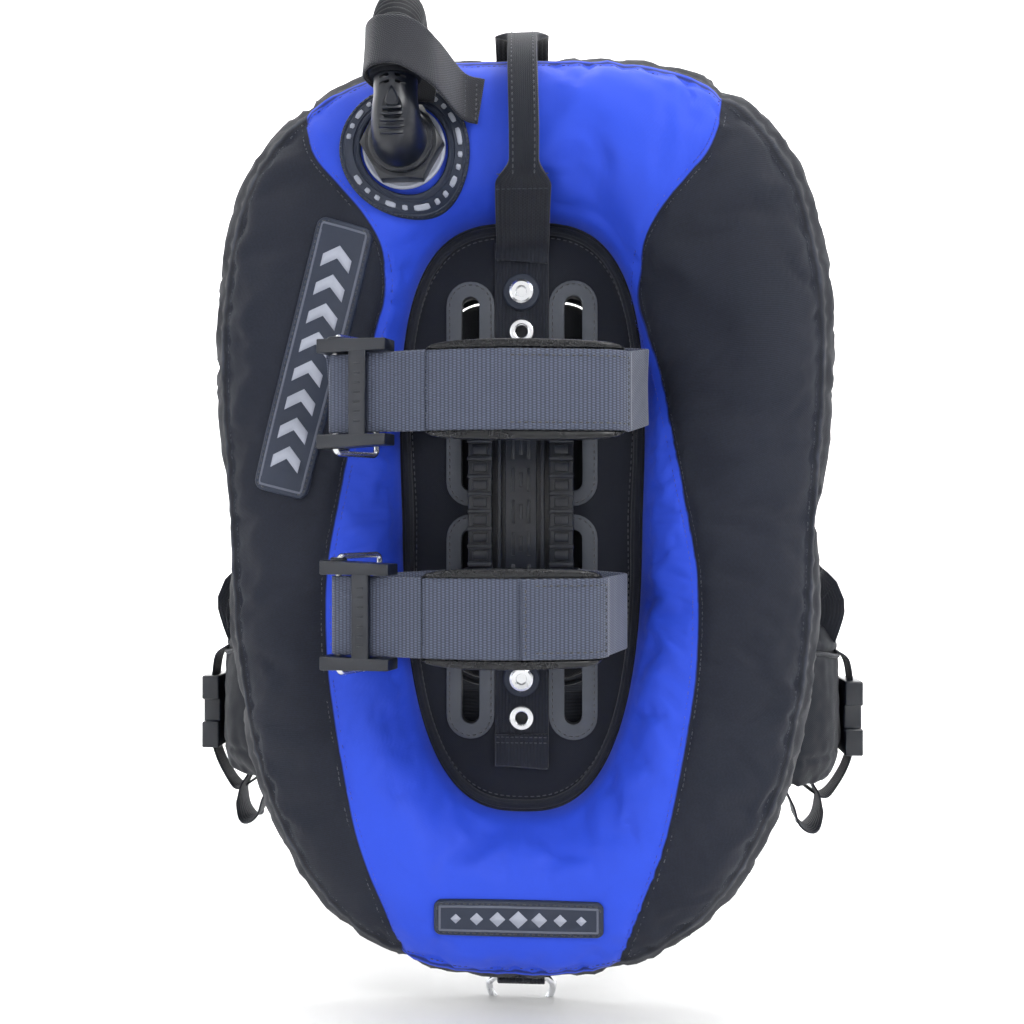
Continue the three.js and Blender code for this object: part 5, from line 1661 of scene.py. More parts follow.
def corrugatedHose():
    s = hoseStart
    route = [s + Vector(step) for step in hoseRoute] + [Vector(q) for q in (
        (-85, 34, 311), (-88, 66, 297), (-94, 105, 276), (-97, 160, 250), (-98, 206, 208), (-98, 240, 150),
        (-98, 246, 118), (-98, 246, 98))]
    dense = curveThrough(route, 900)
    length = sum((b - a).length for a, b in zip(dense, dense[1:]))
    folds = round(length / port["foldPitch"])
    path = evenly(dense, folds * 6)
    last = len(path) - 1

    def section(t):
        wave = math.cos(tau * folds * t)
        r = port["hoseRadius"] - 1.5 + 1.5 * math.copysign(abs(wave) ** 0.6, wave) * 0.9
        if t * length < 12 or (1 - t) * length < 14:
            r = port["hoseRadius"] - 0.4
        return [(r * math.cos(tau * i / 28), r * math.sin(tau * i / 28)) for i in range(28)]
    hose = swept("hose_folds", path, sideways, section)
    smoothed(hose, 60)
    settled(hose, stands="corrugated_hose", finish="hoseRubber")
    ties = []
    for t in (0.012, 0.982):
        centreAt = int(t * last)
        ring = swept("hose_tie", path[max(centreAt - 3, 0):centreAt + 4], sideways,
                     roundSection(port["hoseRadius"] + 0.9, 40))
        ties.append(softened(ring, 0.5, 2, 40))
    settled(together("hose_ties", ties), finish="plasticMatt")


def hoseStrap():
    s = hoseStart
    sewn = discFront(-12, 262, port["strapWidth"] / 2) - 0.6 - 0.9
    hold = port["hoseRadius"] + 1 + 0.9
    path = curveThrough([
        (-24, sewn, 256), (-34, sewn - 3, 258), (-52, s.y - hold + 8, 267), (s.x + 6, s.y - hold, 276),
        (s.x - 10, s.y - hold * 0.85, 277), (s.x - hold - 1, s.y + 3, 277), (s.x - 12, s.y + hold + 4, 274),
        (s.x + 6, s.y + hold + 10, 271), (s.x + 24, s.y + hold + 9, 269)], 110)
    strap = tape("strap_round_hose", path, Vector((0, 0.3, 1)), port["strapWidth"], 1.8, columns=14)
    settled(strap, stands="hose_strap", finish="wideWeb")
    for k, d in enumerate((2, 7)):
        place = path[d]
        row = [((place + Vector((0, 0.3, 1)).normalized() * u + Vector((0, -1.15, 0))) * mm, Vector((0, -1, 0)))
               for u in range(-15, 17, 3)]
        stitchRow(f"hose_strap_stitches_{k + 1}", row, "greyThread", length=2.4, gap=1.4, thick=0.4)


portPatch()
portFittings()
elbowBody()
corrugatedHose()
hoseStrap()
print("port and hose ready")


# the inflator at the hose's end, and the valve behind
inflator = {"x": -98, "y": 246, "top": 97.7, "length": 84, "grips": (5, 8, 11)}


def inflatorPieces():
    f = inflator
    low = f["top"] - f["length"]
    body = copyOfNode("inflator_body", "inflator_case")
    softened(body, 1.0, 3, 30)
    settled(body, stands="inflator_body", finish="plasticSatin")
    rings = []
    for z in f["grips"]:
        outline = [(16.2, -0.9), (17.0, -1.0), (17.7, -0.5), (17.7, 0.5), (17.0, 1.0), (16.2, 0.9), (16.2, -0.9)]
        rings.append(lathed("grip_ring", outline, (f["x"], f["y"], low + z), axis="Z", steps=48))
    settled(together("inflator_grips", rings), finish="plasticMatt")
    for name in ("inflate_button", "deflate_button"):
        cap = copyOfNode(name, name + "_cap")
        softened(cap, 0.8, 3, 30)
        settled(cap, name, name, "rubber")
    tube = copyOfNode("mouthpiece", "mouthpiece_soft")
    softened(tube, 1.2, 4, 30)
    settled(tube, stands="mouthpiece", finish="hoseRubber")


def dumpValvePieces():
    x, z = -112, -250
    face = discBack(x, z, 25) + 0.6
    body = lathed("valve_seat", [(0, 8), (15, 8), (15, 0.2), (24.2, 0), (25, -0.9), (25, -2.6), (24, -3.5), (0, -3.5)],
                  (x, face, z), steps=64)
    outline = [(0, -3.8), (19.6, -3.8), (20, -4.3), (20, -8.6), (18.6, -10.8), (16.5, -11.8), (12, -11.4),
               (10.6, -10.6), (4, -10.4), (3, -11.6), (0, -11.8)]
    cap = lathed("valve_cap", outline, (x, face, z), steps=64)
    grips = []
    for i in range(20):
        a = 18 * i
        grip = block("valve_grip", (x + 18.8, face + 4.6, z - 1.1), (x + 20.6, face + 9.4, z + 1.1))
        moved(softened(grip, 0.4, 2, 30), turn=(a, "Y"), about=(x, 0, z))
        grips.append(grip)
    settled(body, stands="dump_valve_body", finish="plasticSatin")
    settled(together("valve_cap", [cap] + grips), stands="dump_valve_cap", finish="plasticMatt")


inflatorPieces()
dumpValvePieces()
print("inflator and valve ready")


# the carry handle, the patches on the cell, and the bottom ring
handle = {"wide": 38, "grip": 20, "gripThick": 7, "thick": 3, "clearance": 11, "sewn": 175.7}
wingTop = wing["centreZ"] + wing["height"] / 2
wingLow = wing["centreZ"] - wing["height"] / 2


def carryHandle():
    h = handle
    front = -wing["bulgeTank"] - h["clearance"] - h["gripThick"] / 2
    sewn, strip = h["sewn"], middle["stripFront"]
    path = curveThrough([
        (0, strip - 0.6 - h["thick"] / 2, sewn - 14), (1, strip - 0.6 - h["thick"] / 2 - 2, sewn - 4),
        (2, -14, sewn + 8),
        (3.5, front + 27, sewn + 22), (5, front + 9, sewn + 36), (5.5, front, wingTop - 66), (5, front, wingTop - 42),
        (4, front + 9, wingTop - 16), (3, front + 29, wingTop + 5), (1, -6, wingTop + 16), (0, 24, wingTop + 2),
        (0, wing["bulgeDiver"] + 8, wingTop - 40), (0, wing["bulgeDiver"] + 8, wingTop - 90), (0, 23.6, 166),
        (0, 21.4, 152)], 170)

    def section(t):
        # wide and flat where it is sewn, folded narrow and thick for the hand
        ease = min(max((t - 0.17) / 0.05, 0), 1) * min(max((0.52 - t) / 0.05, 0), 1)
        ease = ease * ease * (3 - 2 * ease)
        w = (h["wide"] + (h["grip"] - h["wide"]) * ease) / 2
        d = (h["thick"] - 0.8 + (h["gripThick"] - h["thick"] + 0.6) * ease) / 2
        edge = min(d, 1.6)
        half = [(-d + edge * 0.3, -w + edge * 0.2), (-d * 0.2, -w), (d * 0.4, -w + edge * 0.1), (d, -w + edge)]
        half += [(d, -w + edge + (2 * w - 2 * edge) * k / 6) for k in range(1, 7)]
        return half + [(-s, -u) for s, u in half]
    strap = swept("grab_handle", path, sideways, section)
    smoothed(strap, 60)
    settled(strap, stands="carry_handle", finish="strapWeb")
    for sign in (-1, 1):
        line = []
        for a, b in zip(path[34:86], path[35:87]):
            way = (b - a).normalized()
            normal = way.cross(sideways).normalized()
            normal = normal if normal.y < 0 else -normal
            line.append(((a + sideways * (sign * 7.2) + normal * 3.35) * mm, normal))
        name = "handle_stitches_" + ("left" if sign < 0 else "right")
        stitchRow(name, line, "greyThread", length=2.8, gap=1.4, thick=0.42)
    for k, d in enumerate((28, 33)):
        a, b = path[d], path[d + 1]
        normal = (b - a).normalized().cross(sideways).normalized()
        normal = normal if normal.y < 0 else -normal
        row = [((a + sideways * x + normal * 1.3) * mm, normal) for x in range(-17, 19, 3)]
        stitchRow(f"handle_foot_stitches_{k + 1}", row, "greyThread", length=2.4, gap=1.2, thick=0.42)
    # the folded end of the strap over the top edge
    top = [path[k] + Vector((0, -1.4, 2.0)) for k in range(90, 108)]
    fold = tape("handle_fold", top, sideways, 28, 2.0, columns=6)
    settled(fold, finish="strapWeb")


def labelPatch(name, node, length, width, thick, x, z, angle, border):
    # a moulded label with a raised rim and raised shapes, all laid along the cell
    turn = math.radians(angle)
    halfLength, halfWidth, corner = length / 2, width / 2, border["corner"]

    def at(u, v, height):
        px = x + u * math.cos(turn) - v * math.sin(turn)
        pz = z + u * math.sin(turn) + v * math.cos(turn)
        return point(px, wingFront(px, pz) - 0.9 - height, pz)

    def reach(u, inset=0.0):
        # half the label's width at this distance along it
        r = max(corner - inset, 1.0)
        past = max(abs(u) - (halfLength - inset - r), 0)
        return halfWidth - inset - r + math.sqrt(max(r * r - past * past, 0))

    edgeSteps = (0.0, 0.35, 0.9, 1.6, 3.0, 3.4, 3.7, 4.6, 4.9, 5.4)

    def rise(d):
        # rounded at the edge, with a thin raised line just inside it
        rounded = thick * (1 - (1 - min(d / 1.6, 1)) ** 2) ** 0.5
        return rounded + (0.35 if 3.5 < d < 4.8 else 0.0)
    us = [-halfLength + e for e in edgeSteps]
    count = int(length / 4)
    us += [us[-1] + (2 * abs(us[-1])) * k / count for k in range(1, count)]
    us += [halfLength - e for e in reversed(edgeSteps)]
    points, faces, flatPlaces = [], [], []
    for flat in (False, True):
        for u in us:
            wide = reach(max(min(u, halfLength - 0.02), -halfLength + 0.02))
            steps = [-wide + e * min(1, wide / halfWidth) for e in edgeSteps]
            inside = [steps[-1] + 2 * abs(steps[-1]) * k / 9 for k in range(1, 9)]
            for v in steps + inside + [-s for s in reversed(steps)]:
                d = min(halfLength - abs(u), wide - abs(v))
                points.append(at(u, v, -0.4 if flat else rise(max(d, 0))))
                flatPlaces.append((u * mm, v * mm))
    wideCount = 2 * len(edgeSteps) + 8
    tall = len(us)
    for flat in (0, 1):
        base = flat * tall * wideCount
        for i in range(tall - 1):
            for j in range(wideCount - 1):
                a = base + i * wideCount + j
                face = (a, a + 1, a + wideCount + 1, a + wideCount)
                faces.append(face if flat else face[::-1])
    rim = [i * wideCount for i in range(tall)] + [(tall - 1) * wideCount + j for j in range(1, wideCount)]
    rim += [i * wideCount + wideCount - 1 for i in range(tall - 2, -1, -1)] + [j for j in range(wideCount - 2, 0, -1)]
    shift = tall * wideCount
    for a, b in zip(rim, rim[1:] + rim[:1]):
        faces.append((a, b, b + shift, a + shift))
    piece = madeMesh(name, points, faces)
    outward(piece)
    smoothed(piece, 40)
    settled(piece, stands=node, finish=("patchRubber", "labelLine"))
    for polygon in piece.data.polygons:
        u, v = (sum(flatPlaces[i][k] for i in polygon.vertices) / len(polygon.vertices) / mm for k in (0, 1))
        polygon.material_index = 3.5 < min(halfLength - abs(u), reach(u) - abs(v)) < 4.8

    points, faces = [], []
    for rows in border["shapes"]:
        base, count = len(points), len(rows)
        for low, high, v in rows:
            points += [at(low, v, thick - 0.5), at(low + 0.25, v, thick + 0.45), at(high - 0.25, v, thick + 0.45),
                       at(high, v, thick - 0.5)]
        for i in range(count - 1):
            a = base + 4 * i
            faces += [(a + k, a + k + 1, a + k + 5, a + k + 4) for k in range(3)]
            faces.append((a + 3, a, a + 4, a + 7))
        last = base + 4 * (count - 1)
        faces += [(base, base + 1, base + 2, base + 3), (last + 3, last + 2, last + 1, last)]
    marks = outward(madeMesh(name + "_marks", points, faces))
    settled(marks, finish="silverPrint")
    row = []
    for k in range(161):
        u = -halfLength + 2.4 + (length - 4.8) * k / 160
        row.append((at(u, reach(u, 2.4), thick + 0.02), Vector((0, -1, 0))))
    for k in range(161):
        u = halfLength - 2.4 - (length - 4.8) * k / 160
        row.append((at(u, -reach(u, 2.4), thick + 0.02), Vector((0, -1, 0))))
    stitchRow(name + "_stitches", row + row[:1], "blackThread", length=2.4, gap=1.6, thick=0.36)


def chevrons(length, width, count, thick, lean):
    # each shape is a list of (left, right, across), so that it can follow the label
    shapes, step, steps = [], length / count, 10
    for i in range(count):
        middleU = -length / 2 + step * (i + 0.5)
        rows = []
        for k in range(steps + 1):
            v = -1 + 2 * k / steps
            shift = lean * (1 - 2 * abs(v))
            rows.append((middleU - thick / 2 + shift, middleU + thick / 2 + shift, v * width / 2))
        shapes.append(rows)
    return shapes


def diamonds(length, width, count):
    shapes = []
    for i in range(count):
        t = 2 * i / (count - 1) - 1
        u, half = t * length / 2, width / 2 * (1 - 0.45 * abs(t))
        shapes.append([(u - 1.1 * half * (1 - abs(k) / 4) - 0.3, u + 1.1 * half * (1 - abs(k) / 4) + 0.3, half * k / 4)
                       for k in range(-4, 5)])
    return shapes


def ringLine(radius):
    # a D ring hanging from the middle of its straight side
    ends = [Vector((-(radius - 4), 0, 0)), Vector((0, 0, 0)), Vector((radius - 4, 0, 0))]
    arc = [Vector((radius * math.cos(math.pi * i / 28), 0, -4 - (radius - 4) * math.sin(math.pi * i / 28)))
           for i in range(29)]
    return filled(ends, 4) + arc


def bottomRing():
    wire = 2.5
    y, z = 3, -353
    line = [p + Vector((0, y, z)) for p in ringLine(23)]
    ring = swept("lower_ring", line, Vector((0, 1, 0)), roundSection(wire, 16), loop=True)
    smoothed(ring, 50)
    settled(ring, "bottom_ring", "bottom_ring", "steel")
    r = wire + 0.4 + 0.9
    back = wing["bulgeDiver"] + 3
    overBelt = 19.6 + 1.6 + 1.8 + 0.6
    loop = [Vector((0, y + r * math.cos(math.radians(-10 - i * 12.5)), z + r * math.sin(math.radians(-10 - i * 12.5))))
            for i in range(17)]
    path = curveThrough([(0, overBelt, -178), (0, overBelt, -200), (0, back + 2, -222), (0, back + 1.5, wingLow + 50),
                         (0, back - 5, wingLow + 16), (0, y + r + 5, z + 8)], 40) + loop
    tab = tape("ring_tab", path, sideways, 34, 1.8, columns=12)
    settled(tab, stands="bottom_ring_tab", finish="strapWeb")
    front = [Vector((0, y - r, z + 1)), Vector((0, y - r - 0.8, z + 7)), Vector((0, y - r + 0.6, z + 13))]
    flap = tape("ring_tab_front", curveThrough(front, 8), sideways, 34, 1.6, columns=12)
    settled(flap, finish="strapWeb")


def edgeTag():
    # a small blank woven tag caught in the left edge seam
    x0, z0 = -207, -92
    y = 2
    line = [Vector((x0 - 1, y - 16, z0 + 10)), Vector((x0 - 2.6, y - 16.8, z0)), Vector((x0 - 1.4, y - 16.4, z0 - 10))]
    tag = tape("edge_tag", line, Vector((0.3, -1, 0)).normalized(), 9, 0.9, columns=3)
    settled(tag, finish="strapWeb")


carryHandle()
labelPatch("side_label", "side_patch", 190, 38, 2.4, -139, 85, 76,
           {"corner": 7, "shapes": chevrons(160, 19, 8, 9, 4)})
labelPatch("lower_label", "lower_patch", 114, 24, 2.2, 1, -292, 0, {"corner": 5, "shapes": diamonds(84, 11, 7)})
bottomRing()
edgeTag()
print("handle, labels and ring ready")


# the diver's side: plate, pad, shoulder straps, belts and pockets
harness = {
    "padTop": 138, "padLow": -146, "padWidth": 124, "padCorner": 34, "padFront": 22.9, "padThick": 22,
    "shoulderWidth": 62, "shoulderThick": 13, "tongue": 38, "socket": 34, "strapPocket": 12, "lowerWidth": 38,
    "chestWidth": 25, "chestZ": 118, "chestY": 217.9, "waistWidth": 50,
    "cloth": 5.0,
}
hipPoint = Vector((229, 78, -87))
strapEnd = Vector((106, 208, 62))
downWay = (hipPoint - strapEnd).normalized()
strapAcross = -downWay.cross(Vector((0.55, 0.7, 0))).normalized()
strapOut = strapAcross.cross(downWay).normalized()
ringPlace = hipPoint - downWay * 42
shoulderRoute = [(43, 38, 138.6), (46, 42, 176), (57, 66, 208), (76, 104, 228), (92, 150, 211), (99, 184, 170),
                 (101, 201, 122), (102, 208, 90), tuple(strapEnd)]


def inflated(piece, cap, pinned):
    # a padded piece: an even skin, blown up a little, then held to a cap in millimetres
    applied(piece, "REMESH", mode="VOXEL", voxel_size=5 * mm, use_smooth_shade=True)
    applied(piece, "SMOOTH", factor=0.5, iterations=3)
    rest = [v.co.copy() for v in piece.data.vertices]
    held = piece.vertex_groups.new(name="sewn")
    held.add([v.index for v in piece.data.vertices if pinned(v.co / mm)], 1.0, "REPLACE")
    after = solved(piece, "sewn", quality=3, mass=0.2, stiffness=10, bending=0.2, shrink=-0.04)
    for vertex, place, step in zip(piece.data.vertices, rest, heldBack(after, rest, cap * mm)):
        vertex.co = place + step
    piece.data.update()
    return piece


def grooved(piece, lines, depth, width, way):
    # sewn channels: the surface sinks near each line, on the faces that way allows
    def lift(p, n):
        if not way(n):
            return 0.0
        d = min(line(p) for line in lines)
        return -depth * (math.exp(-(d / width) ** 2) + 0.35 * math.exp(-(d / (3 * width)) ** 2))
    return pushed(piece, lift)


def backSide():
    h = harness
    plate = copyOfNode("backplate", "plate_shell")
    softened(plate, 0.8, 3, 50)
    settled(plate, stands="backplate", finish="plasticMatt")

    pad = copyOfNode("back_pad", "lumbar_pad")
    centre = Vector((0, h["padFront"] + h["padThick"] / 2, -4))
    for vertex in pad.data.vertices:
        vertex.co = centre * mm + (vertex.co - centre * mm) * 0.97
    inflated(pad, h["cloth"], pinned=lambda p: p.y < h["padFront"] + 2)
    applied(pad, "SUBSURF", levels=1, render_levels=1)
    rows = [z for z in (-88, -30, 28, 86)]
    lines = [lambda p, z=z: abs(p.z - z) for z in rows] + [lambda p: abs(abs(p.x) - 26) + (0 if -88 < p.z < 86 else 40)]
    grooved(pad, lines, 3.2, 2.6, lambda n: n.y > 0.2)
    for vertex in pad.data.vertices:
        vertex.co.y = min(vertex.co.y, (h["padFront"] + h["padThick"] + 3) * mm)
    boxPattern(pad)
    settled(pad, stands="back_pad", finish="padCloth")
    rim, reach = [], h["padCorner"] + 0.5
    cx, top, low = h["padWidth"] / 2 - h["padCorner"], h["padTop"] - h["padCorner"], h["padLow"] + h["padCorner"]
    for x, z, start in ((cx, top, 0), (-cx, top, 90), (-cx, low, 180), (cx, low, 270)):
        for k in range(13):
            a = math.radians(start + 90 * k / 12)
            rim.append(Vector((x + reach * math.cos(a), h["padFront"] + 9, z + reach * math.sin(a))))
    rim = evenly(rim + rim[:1], 160)[:-1]
    piping = swept("pad_piping", rim, Vector((0, 1, 0)), roundSection(2.0, 10), loop=True)
    settled(piping, finish="strapWeb")


def shoulderSide(name, sign):
    h = harness
    along, outwards, acrossEnd = mirroredPoints((downWay, strapOut, strapAcross), sign)

    def across(t):
        lean = max(0, (t - 0.7) / 0.3)
        goal = acrossEnd * math.copysign(1, acrossEnd.x)
        return sideways.lerp(goal, lean).normalized()
    route = curveThrough(mirroredPoints(shoulderRoute, sign), 96)

    def section(t):
        # a stuffed strap: pulled in at the binding, crowned between the sewn rows
        taper = min(1, 0.72 + 3 * min(t, 1 - t))
        w, d = h["shoulderWidth"] * taper / 2, h["shoulderThick"] / 2
        out = []
        for k in range(13):
            u = -1 + 2 * k / 12
            crown = (1 - abs(u) ** 3.2) ** 0.5
            seam = 1 - 0.22 * math.exp(-((abs(u) - 0.45) / 0.07) ** 2)
            out.append((max(d * crown * seam, 1.0), u * (w - 1.2)))
        return [(-s, u) for s, u in out] + list(reversed(out))
    pad = swept("shoulder_cushion_" + name, route, across, section)
    applied(pad, "SUBSURF", levels=1, render_levels=1)
    pushed(pad, lambda p, n: 0.5 * noiseAt(p.x, p.y, p.z, 11) + 0.7 * noiseAt(p.x, p.y, p.z, 37))
    settled(pad, stands="shoulder_pad_" + name, finish="padCloth")

    # bound edges and a flat strap sewn down the middle of the outer face
    edges = []
    for edgeSign in (-1, 1):
        line = []
        for i, p in enumerate(route):
            t = i / (len(route) - 1)
            way = (route[min(i + 1, len(route) - 1)] - route[max(i - 1, 0)]).normalized()
            side = way.cross(across(t)).normalized()
            rise = side.cross(way).normalized()
            taper = min(1, 0.72 + 3 * min(t, 1 - t))
            line.append(p + rise * (edgeSign * h["shoulderWidth"] * taper / 2 - edgeSign * 1.4))
        edges.append(swept("edge", line, across, roundSection(2.1, 10)))
    settled(together("shoulder_binding_" + name, edges), finish="strapWeb")
    top = []
    for i, p in enumerate(route[8:]):
        t = (i + 8) / (len(route) - 1)
        way = (route[min(i + 9, len(route) - 1)] - route[i + 7]).normalized()
        side = way.cross(across(t)).normalized()
        side = side if (side.z + side.y) > 0 else -side
        top.append(p + side * (h["shoulderThick"] / 2 + 0.9))
    start, end = mirroredPoints((strapEnd + downWay * 8, strapEnd + downWay * h["tongue"]), sign)
    lead = filled([top[-1], start, end], 5)
    over = swept("shoulder_web_" + name, top + lead[2:], across, tapeSection(h["lowerWidth"], 1.8, 10))
    settled(over, finish="strapWeb")

    for kind in ("socket", "plug"):
        shell = copyOfNode(f"shoulder_{kind}_{name}", f"shoulder_{kind}_shell_{name}")
        softened(shell, 0.6, 2, 40)
        body = "vest" if kind == "socket" else "shoulder_plug_" + name
        settled(shell, body, f"shoulder_{kind}_{name}", "plasticSatin")

    mouth = strapEnd + downWay * (h["tongue"] - h["strapPocket"] + 0.5 + h["socket"] + 0.8)
    line = mirroredPoints((mouth, hipPoint - downWay * 60, hipPoint - downWay * 10, hipPoint), sign)
    lower = tape("lower_strap_" + name, filled(line, 6), acrossEnd, h["lowerWidth"] - 1.6, 1.4, columns=10)
    parts = [lower]
    tail = mirroredPoints((hipPoint - downWay * 14, hipPoint - downWay * 2, (226, 84, -104), (219, 92, -128)), sign)
    parts.append(tape("tail", curveThrough(tail, 12), acrossEnd, h["lowerWidth"] - 1, 1.6, columns=10))
    if sign < 0:
        rise, reach = 1.8 + 0.3 + 5 + 0.3, 2.5 + 1.8 + 1
        keeperAt = Vector((-ringPlace.x, ringPlace.y, ringPlace.z))
        corners = ((-reach - 7, 0, 0), (-reach, rise, 2.5), (reach, rise, 2.5), (reach + 7, 0, 0))
        keeper = [(keeperAt + along * d + outwards * k, radius) for d, k, radius in corners]
        parts.append(tape("keeper", filled(roundCorners(keeper, 5), 3), acrossEnd, h["lowerWidth"], 1.8, columns=10))
    settled(together("lower_strap_" + name, parts), stands="lower_webbing_" + name, finish="strapWeb")


def hipRing():
    wire = 2.5
    ring = swept("side_ring", ringLine(24), Vector((0, 1, 0)), roundSection(wire, 16), loop=True)
    along, outwards, acrossEnd = mirroredPoints((downWay, strapOut, strapAcross), -1)
    x = acrossEnd * math.copysign(1, acrossEnd.x)
    z = -along
    y = z.cross(x)
    place = Vector((-ringPlace.x, ringPlace.y, ringPlace.z)) + outwards * (wire + 0.9 + 0.3)
    turn = Matrix((x, y, z)).transposed().to_4x4()
    ring.data.transform(Matrix.Translation(place * mm) @ turn)
    smoothed(ring, 50)
    settled(ring, "hip_ring", "hip_ring", "steel")


def chestPieces():
    h = harness
    y, z = h["chestY"], h["chestZ"]
    outY = y + 3
    socketTail = -4 - h["socket"]
    left = [Vector((-116, y - 6, z)), Vector((-92, y, z)), Vector((socketTail - 8, outY, z)),
            Vector((socketTail + 11.5, outY, z))]
    right = [Vector((-3.2, outY, z)), Vector((60, outY, z)), Vector((92, y, z)), Vector((116, y - 6, z))]
    for name, line in (("left", left), ("right", right)):
        strap = tape("sternum_strap_" + name, filled(line, 6), up, h["chestWidth"] - 1.6, 1.4, columns=8)
        settled(strap, stands="chest_strap_" + name, finish="strapWeb")
    for base in ("chest", "waist"):
        for kind in ("socket", "plug"):
            shell = copyOfNode(f"{base}_{kind}", f"{base}_{kind}_shell")
            softened(shell, 0.6, 2, 40)
            body = "vest" if kind == "socket" else f"{base}_plug"
            settled(shell, body, f"{base}_{kind}", "plasticSatin")


waistHalf = [(0, 21.2, -176), (30, 21.2, -176), (62, 32, -176), (104, 40, -176), (158, 48, -176), (193, 72, -176),
             (206, 116, -176), (199, 164, -176), (170, 214, -176), (118, 250, -176), (74, 262, -176)]
waistSide = curveThrough(waistHalf[1:], 120)


def waistPieces():
    h = harness
    socketTail = -8 - h["socket"]
    leftEnd = [Vector((socketTail + 11.5, 262, -176)), Vector((-60, 262, -176))]
    rightEnd = [Vector((40, 262, -176)), Vector((-7.2, 262, -176))]
    line = leftEnd + list(reversed(mirroredPoints(waistSide, -1))) + list(waistSide) + rightEnd
    belt = tape("belt", filled(line, 7), up, h["waistWidth"], 1.8, columns=14)
    settled(belt, stands="waist_belt", finish="strapWeb")


def hipPocket(name, sign):
    node = "hip_pocket_" + name
    pocket = copyOfNode(node, "side_pocket_" + name)
    core = sum((v.co for v in pocket.data.vertices), Vector()) / len(pocket.data.vertices)
    for vertex in pocket.data.vertices:
        vertex.co = core + (vertex.co - core) * 0.965
    inner = sorted(abs(v.co.x) for v in pocket.data.vertices)[0] / mm
    inflated(pocket, harness["cloth"], pinned=lambda p: abs(p.x) < inner + 4)
    applied(pocket, "SUBSURF", levels=1, render_levels=1)

    def seams(p, _):
        flap = -129 - 0.08 * (p.y - 100)
        lift = 1.6 * noiseAt(p.y, p.z * 0.6, sign * 3.0, 26) + 0.7 * noiseAt(p.x, p.y, p.z, 9)
        lift += 1.0 * math.exp(-((p.z - flap - 6) / 4.0) ** 2) - 2.4 * math.exp(-((p.z - flap) / 2.2) ** 2)
        return lift - 1.6 * math.exp(-((p.z + 204) / 2.4) ** 2)
    pushed(pocket, seams)
    boxPattern(pocket)
    settled(pocket, stands=node, finish="pocketCloth")

    # piping along the flap, a hanging loop below and a strap over the front of the pocket
    low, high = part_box(node)
    reach = max(abs(low.x), abs(high.x)) / mm
    line = []
    for k in range(40):
        y = low.y / mm + 12 + (high.y - low.y) / mm * 0.8 * k / 39
        z = -131 - 0.08 * (y - 100) + 1.5 * math.sin(k * 0.5)
        hit, where, normal, _ = pocket.ray_cast(point(sign * (reach + 40), y, z), Vector((-sign, 0, 0)))
        if hit:
            line.append(where / mm + normal * 0.6)
    if len(line) > 6:
        piping = swept("pocket_piping_" + name, evenly(line, 60), up, roundSection(1.9, 10))
        settled(piping, finish="strapWeb")
    buckle = copyOfNode("pocket_buckle_" + name, "pocket_clip_" + name)
    softened(buckle, 1.4, 3, 40)
    settled(buckle, stands="pocket_buckle_" + name, finish="plasticSatin")
    x = sign * 254.8
    strapLine = curveThrough([(sign * 216, 84, -232), (sign * 232, 92, -240), (sign * 247, 99, -226), (x, 100, -206),
                           (x, 100, -178), (x, 100, -152), (sign * 250, 96, -134), (sign * 236, 88, -124)], 60)
    web = tape("pocket_strap_" + name, strapLine, Vector((0, 1, 0)), 20, 1.6, columns=6)
    settled(web, finish="strapWeb")
    loop = curveThrough([(sign * 196, 66, -226), (sign * 202, 60, -240), (sign * 206, 58, -252), (sign * 214, 62, -257),
                         (sign * 222, 70, -250), (sign * 224, 76, -238), (sign * 220, 82, -226)], 50)
    hang = tape("pocket_loop_" + name, loop, Vector((0, 1, 0.1)), 24, 1.6, columns=6)
    settled(hang, finish="strapWeb")


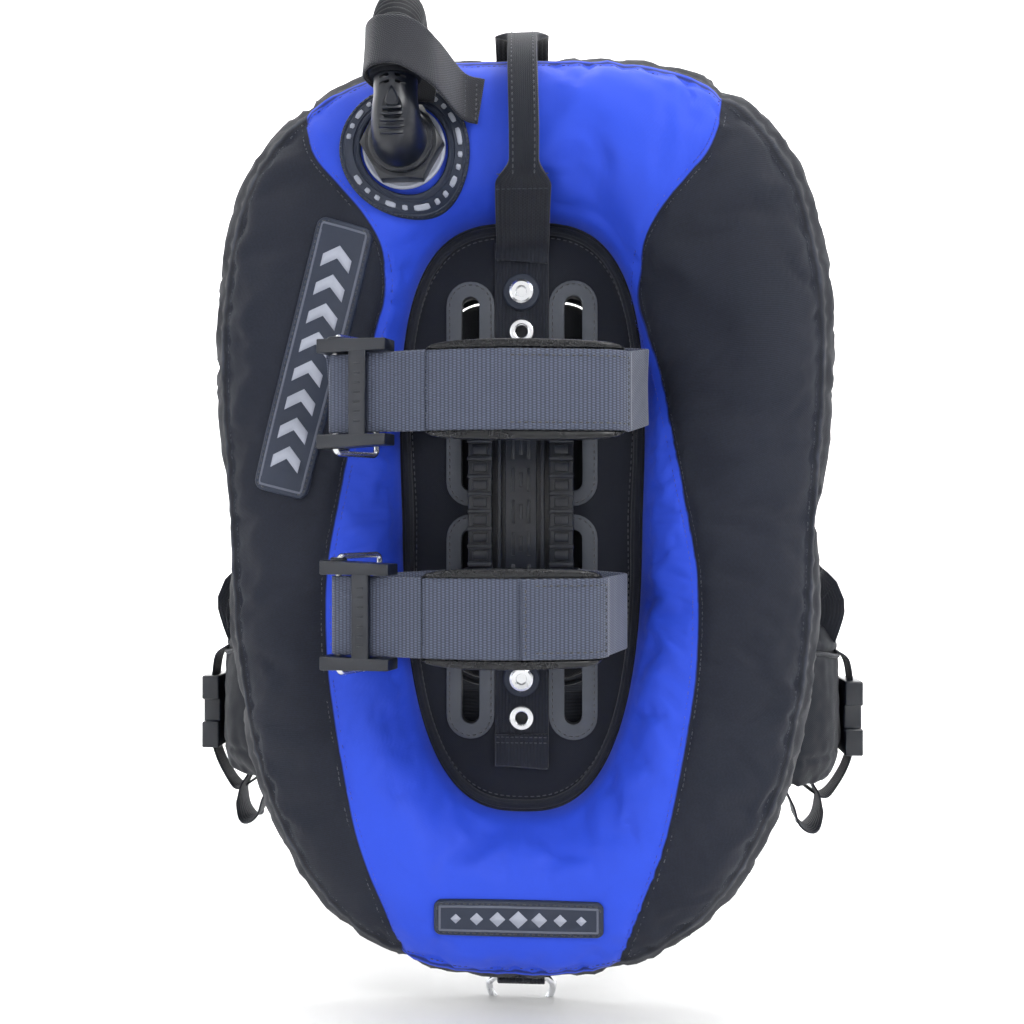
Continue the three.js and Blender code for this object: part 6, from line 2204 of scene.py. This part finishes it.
backSide()
for name, sign in (("left", -1), ("right", 1)):
    shoulderSide(name, sign)
hipRing()
chestPieces()
waistPieces()
print("harness ready")
for name, sign in (("left", -1), ("right", 1)):
    hipPocket(name, sign)
print("pockets ready")


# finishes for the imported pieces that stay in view
carried = {
    "air_bladder": "bladder", "side_patch": "patchRubber", "lower_patch": "patchRubber", "port_patch": "patchRubber",
    "centre_panel": "panelCloth", "slot_trim_upper_left": "trimRubber", "slot_trim_upper_right": "trimRubber",
    "slot_trim_lower_left": "trimRubber", "slot_trim_lower_right": "trimRubber", "centre_webbing": "strapWeb",
    "grommet_upper": "steel", "grommet_lower": "steel", "bolt_upper": "steel", "bolt_lower": "steel",
    "tank_support": "plastic", "tank_band_upper": "bandWeb", "tank_band_lower": "bandWeb",
    "band_pad_upper": "glossRubber", "band_pad_lower": "glossRubber", "buckle_lever_upper": "plasticSatin",
    "buckle_lever_lower": "plasticSatin", "buckle_link_upper": "steel", "buckle_link_lower": "steel",
    "carry_handle": "strapWeb", "port_flange": "rubber", "hex_nut": "plasticSatin", "inflator_elbow": "plasticSatin",
    "corrugated_hose": "hoseRubber", "hose_strap": "strapWeb", "inflator_body": "plasticSatin",
    "inflate_button": "rubber", "deflate_button": "rubber", "mouthpiece": "hoseRubber",
    "dump_valve_body": "plasticSatin", "dump_valve_cap": "plasticMatt", "bottom_ring": "steel",
    "bottom_ring_tab": "strapWeb", "backplate": "plasticMatt", "back_pad": "padCloth", "chest_socket": "plastic",
    "chest_plug": "plastic", "waist_belt": "strapWeb", "waist_socket": "plastic", "waist_plug": "plastic",
    "chest_strap_left": "strapWeb", "chest_strap_right": "strapWeb", "hip_ring": "steel",
}
for end in ("left", "right"):
    carried.update({f"shoulder_pad_{end}": "padCloth", f"shoulder_socket_{end}": "plastic",
                    f"shoulder_plug_{end}": "plastic", f"lower_webbing_{end}": "strapWeb",
                    f"hip_pocket_{end}": "pocketCloth", f"pocket_buckle_{end}": "plastic"})
for name, piece in nodes.items():
    painted(piece, carried.get(name, "plastic"))

clearSelection()
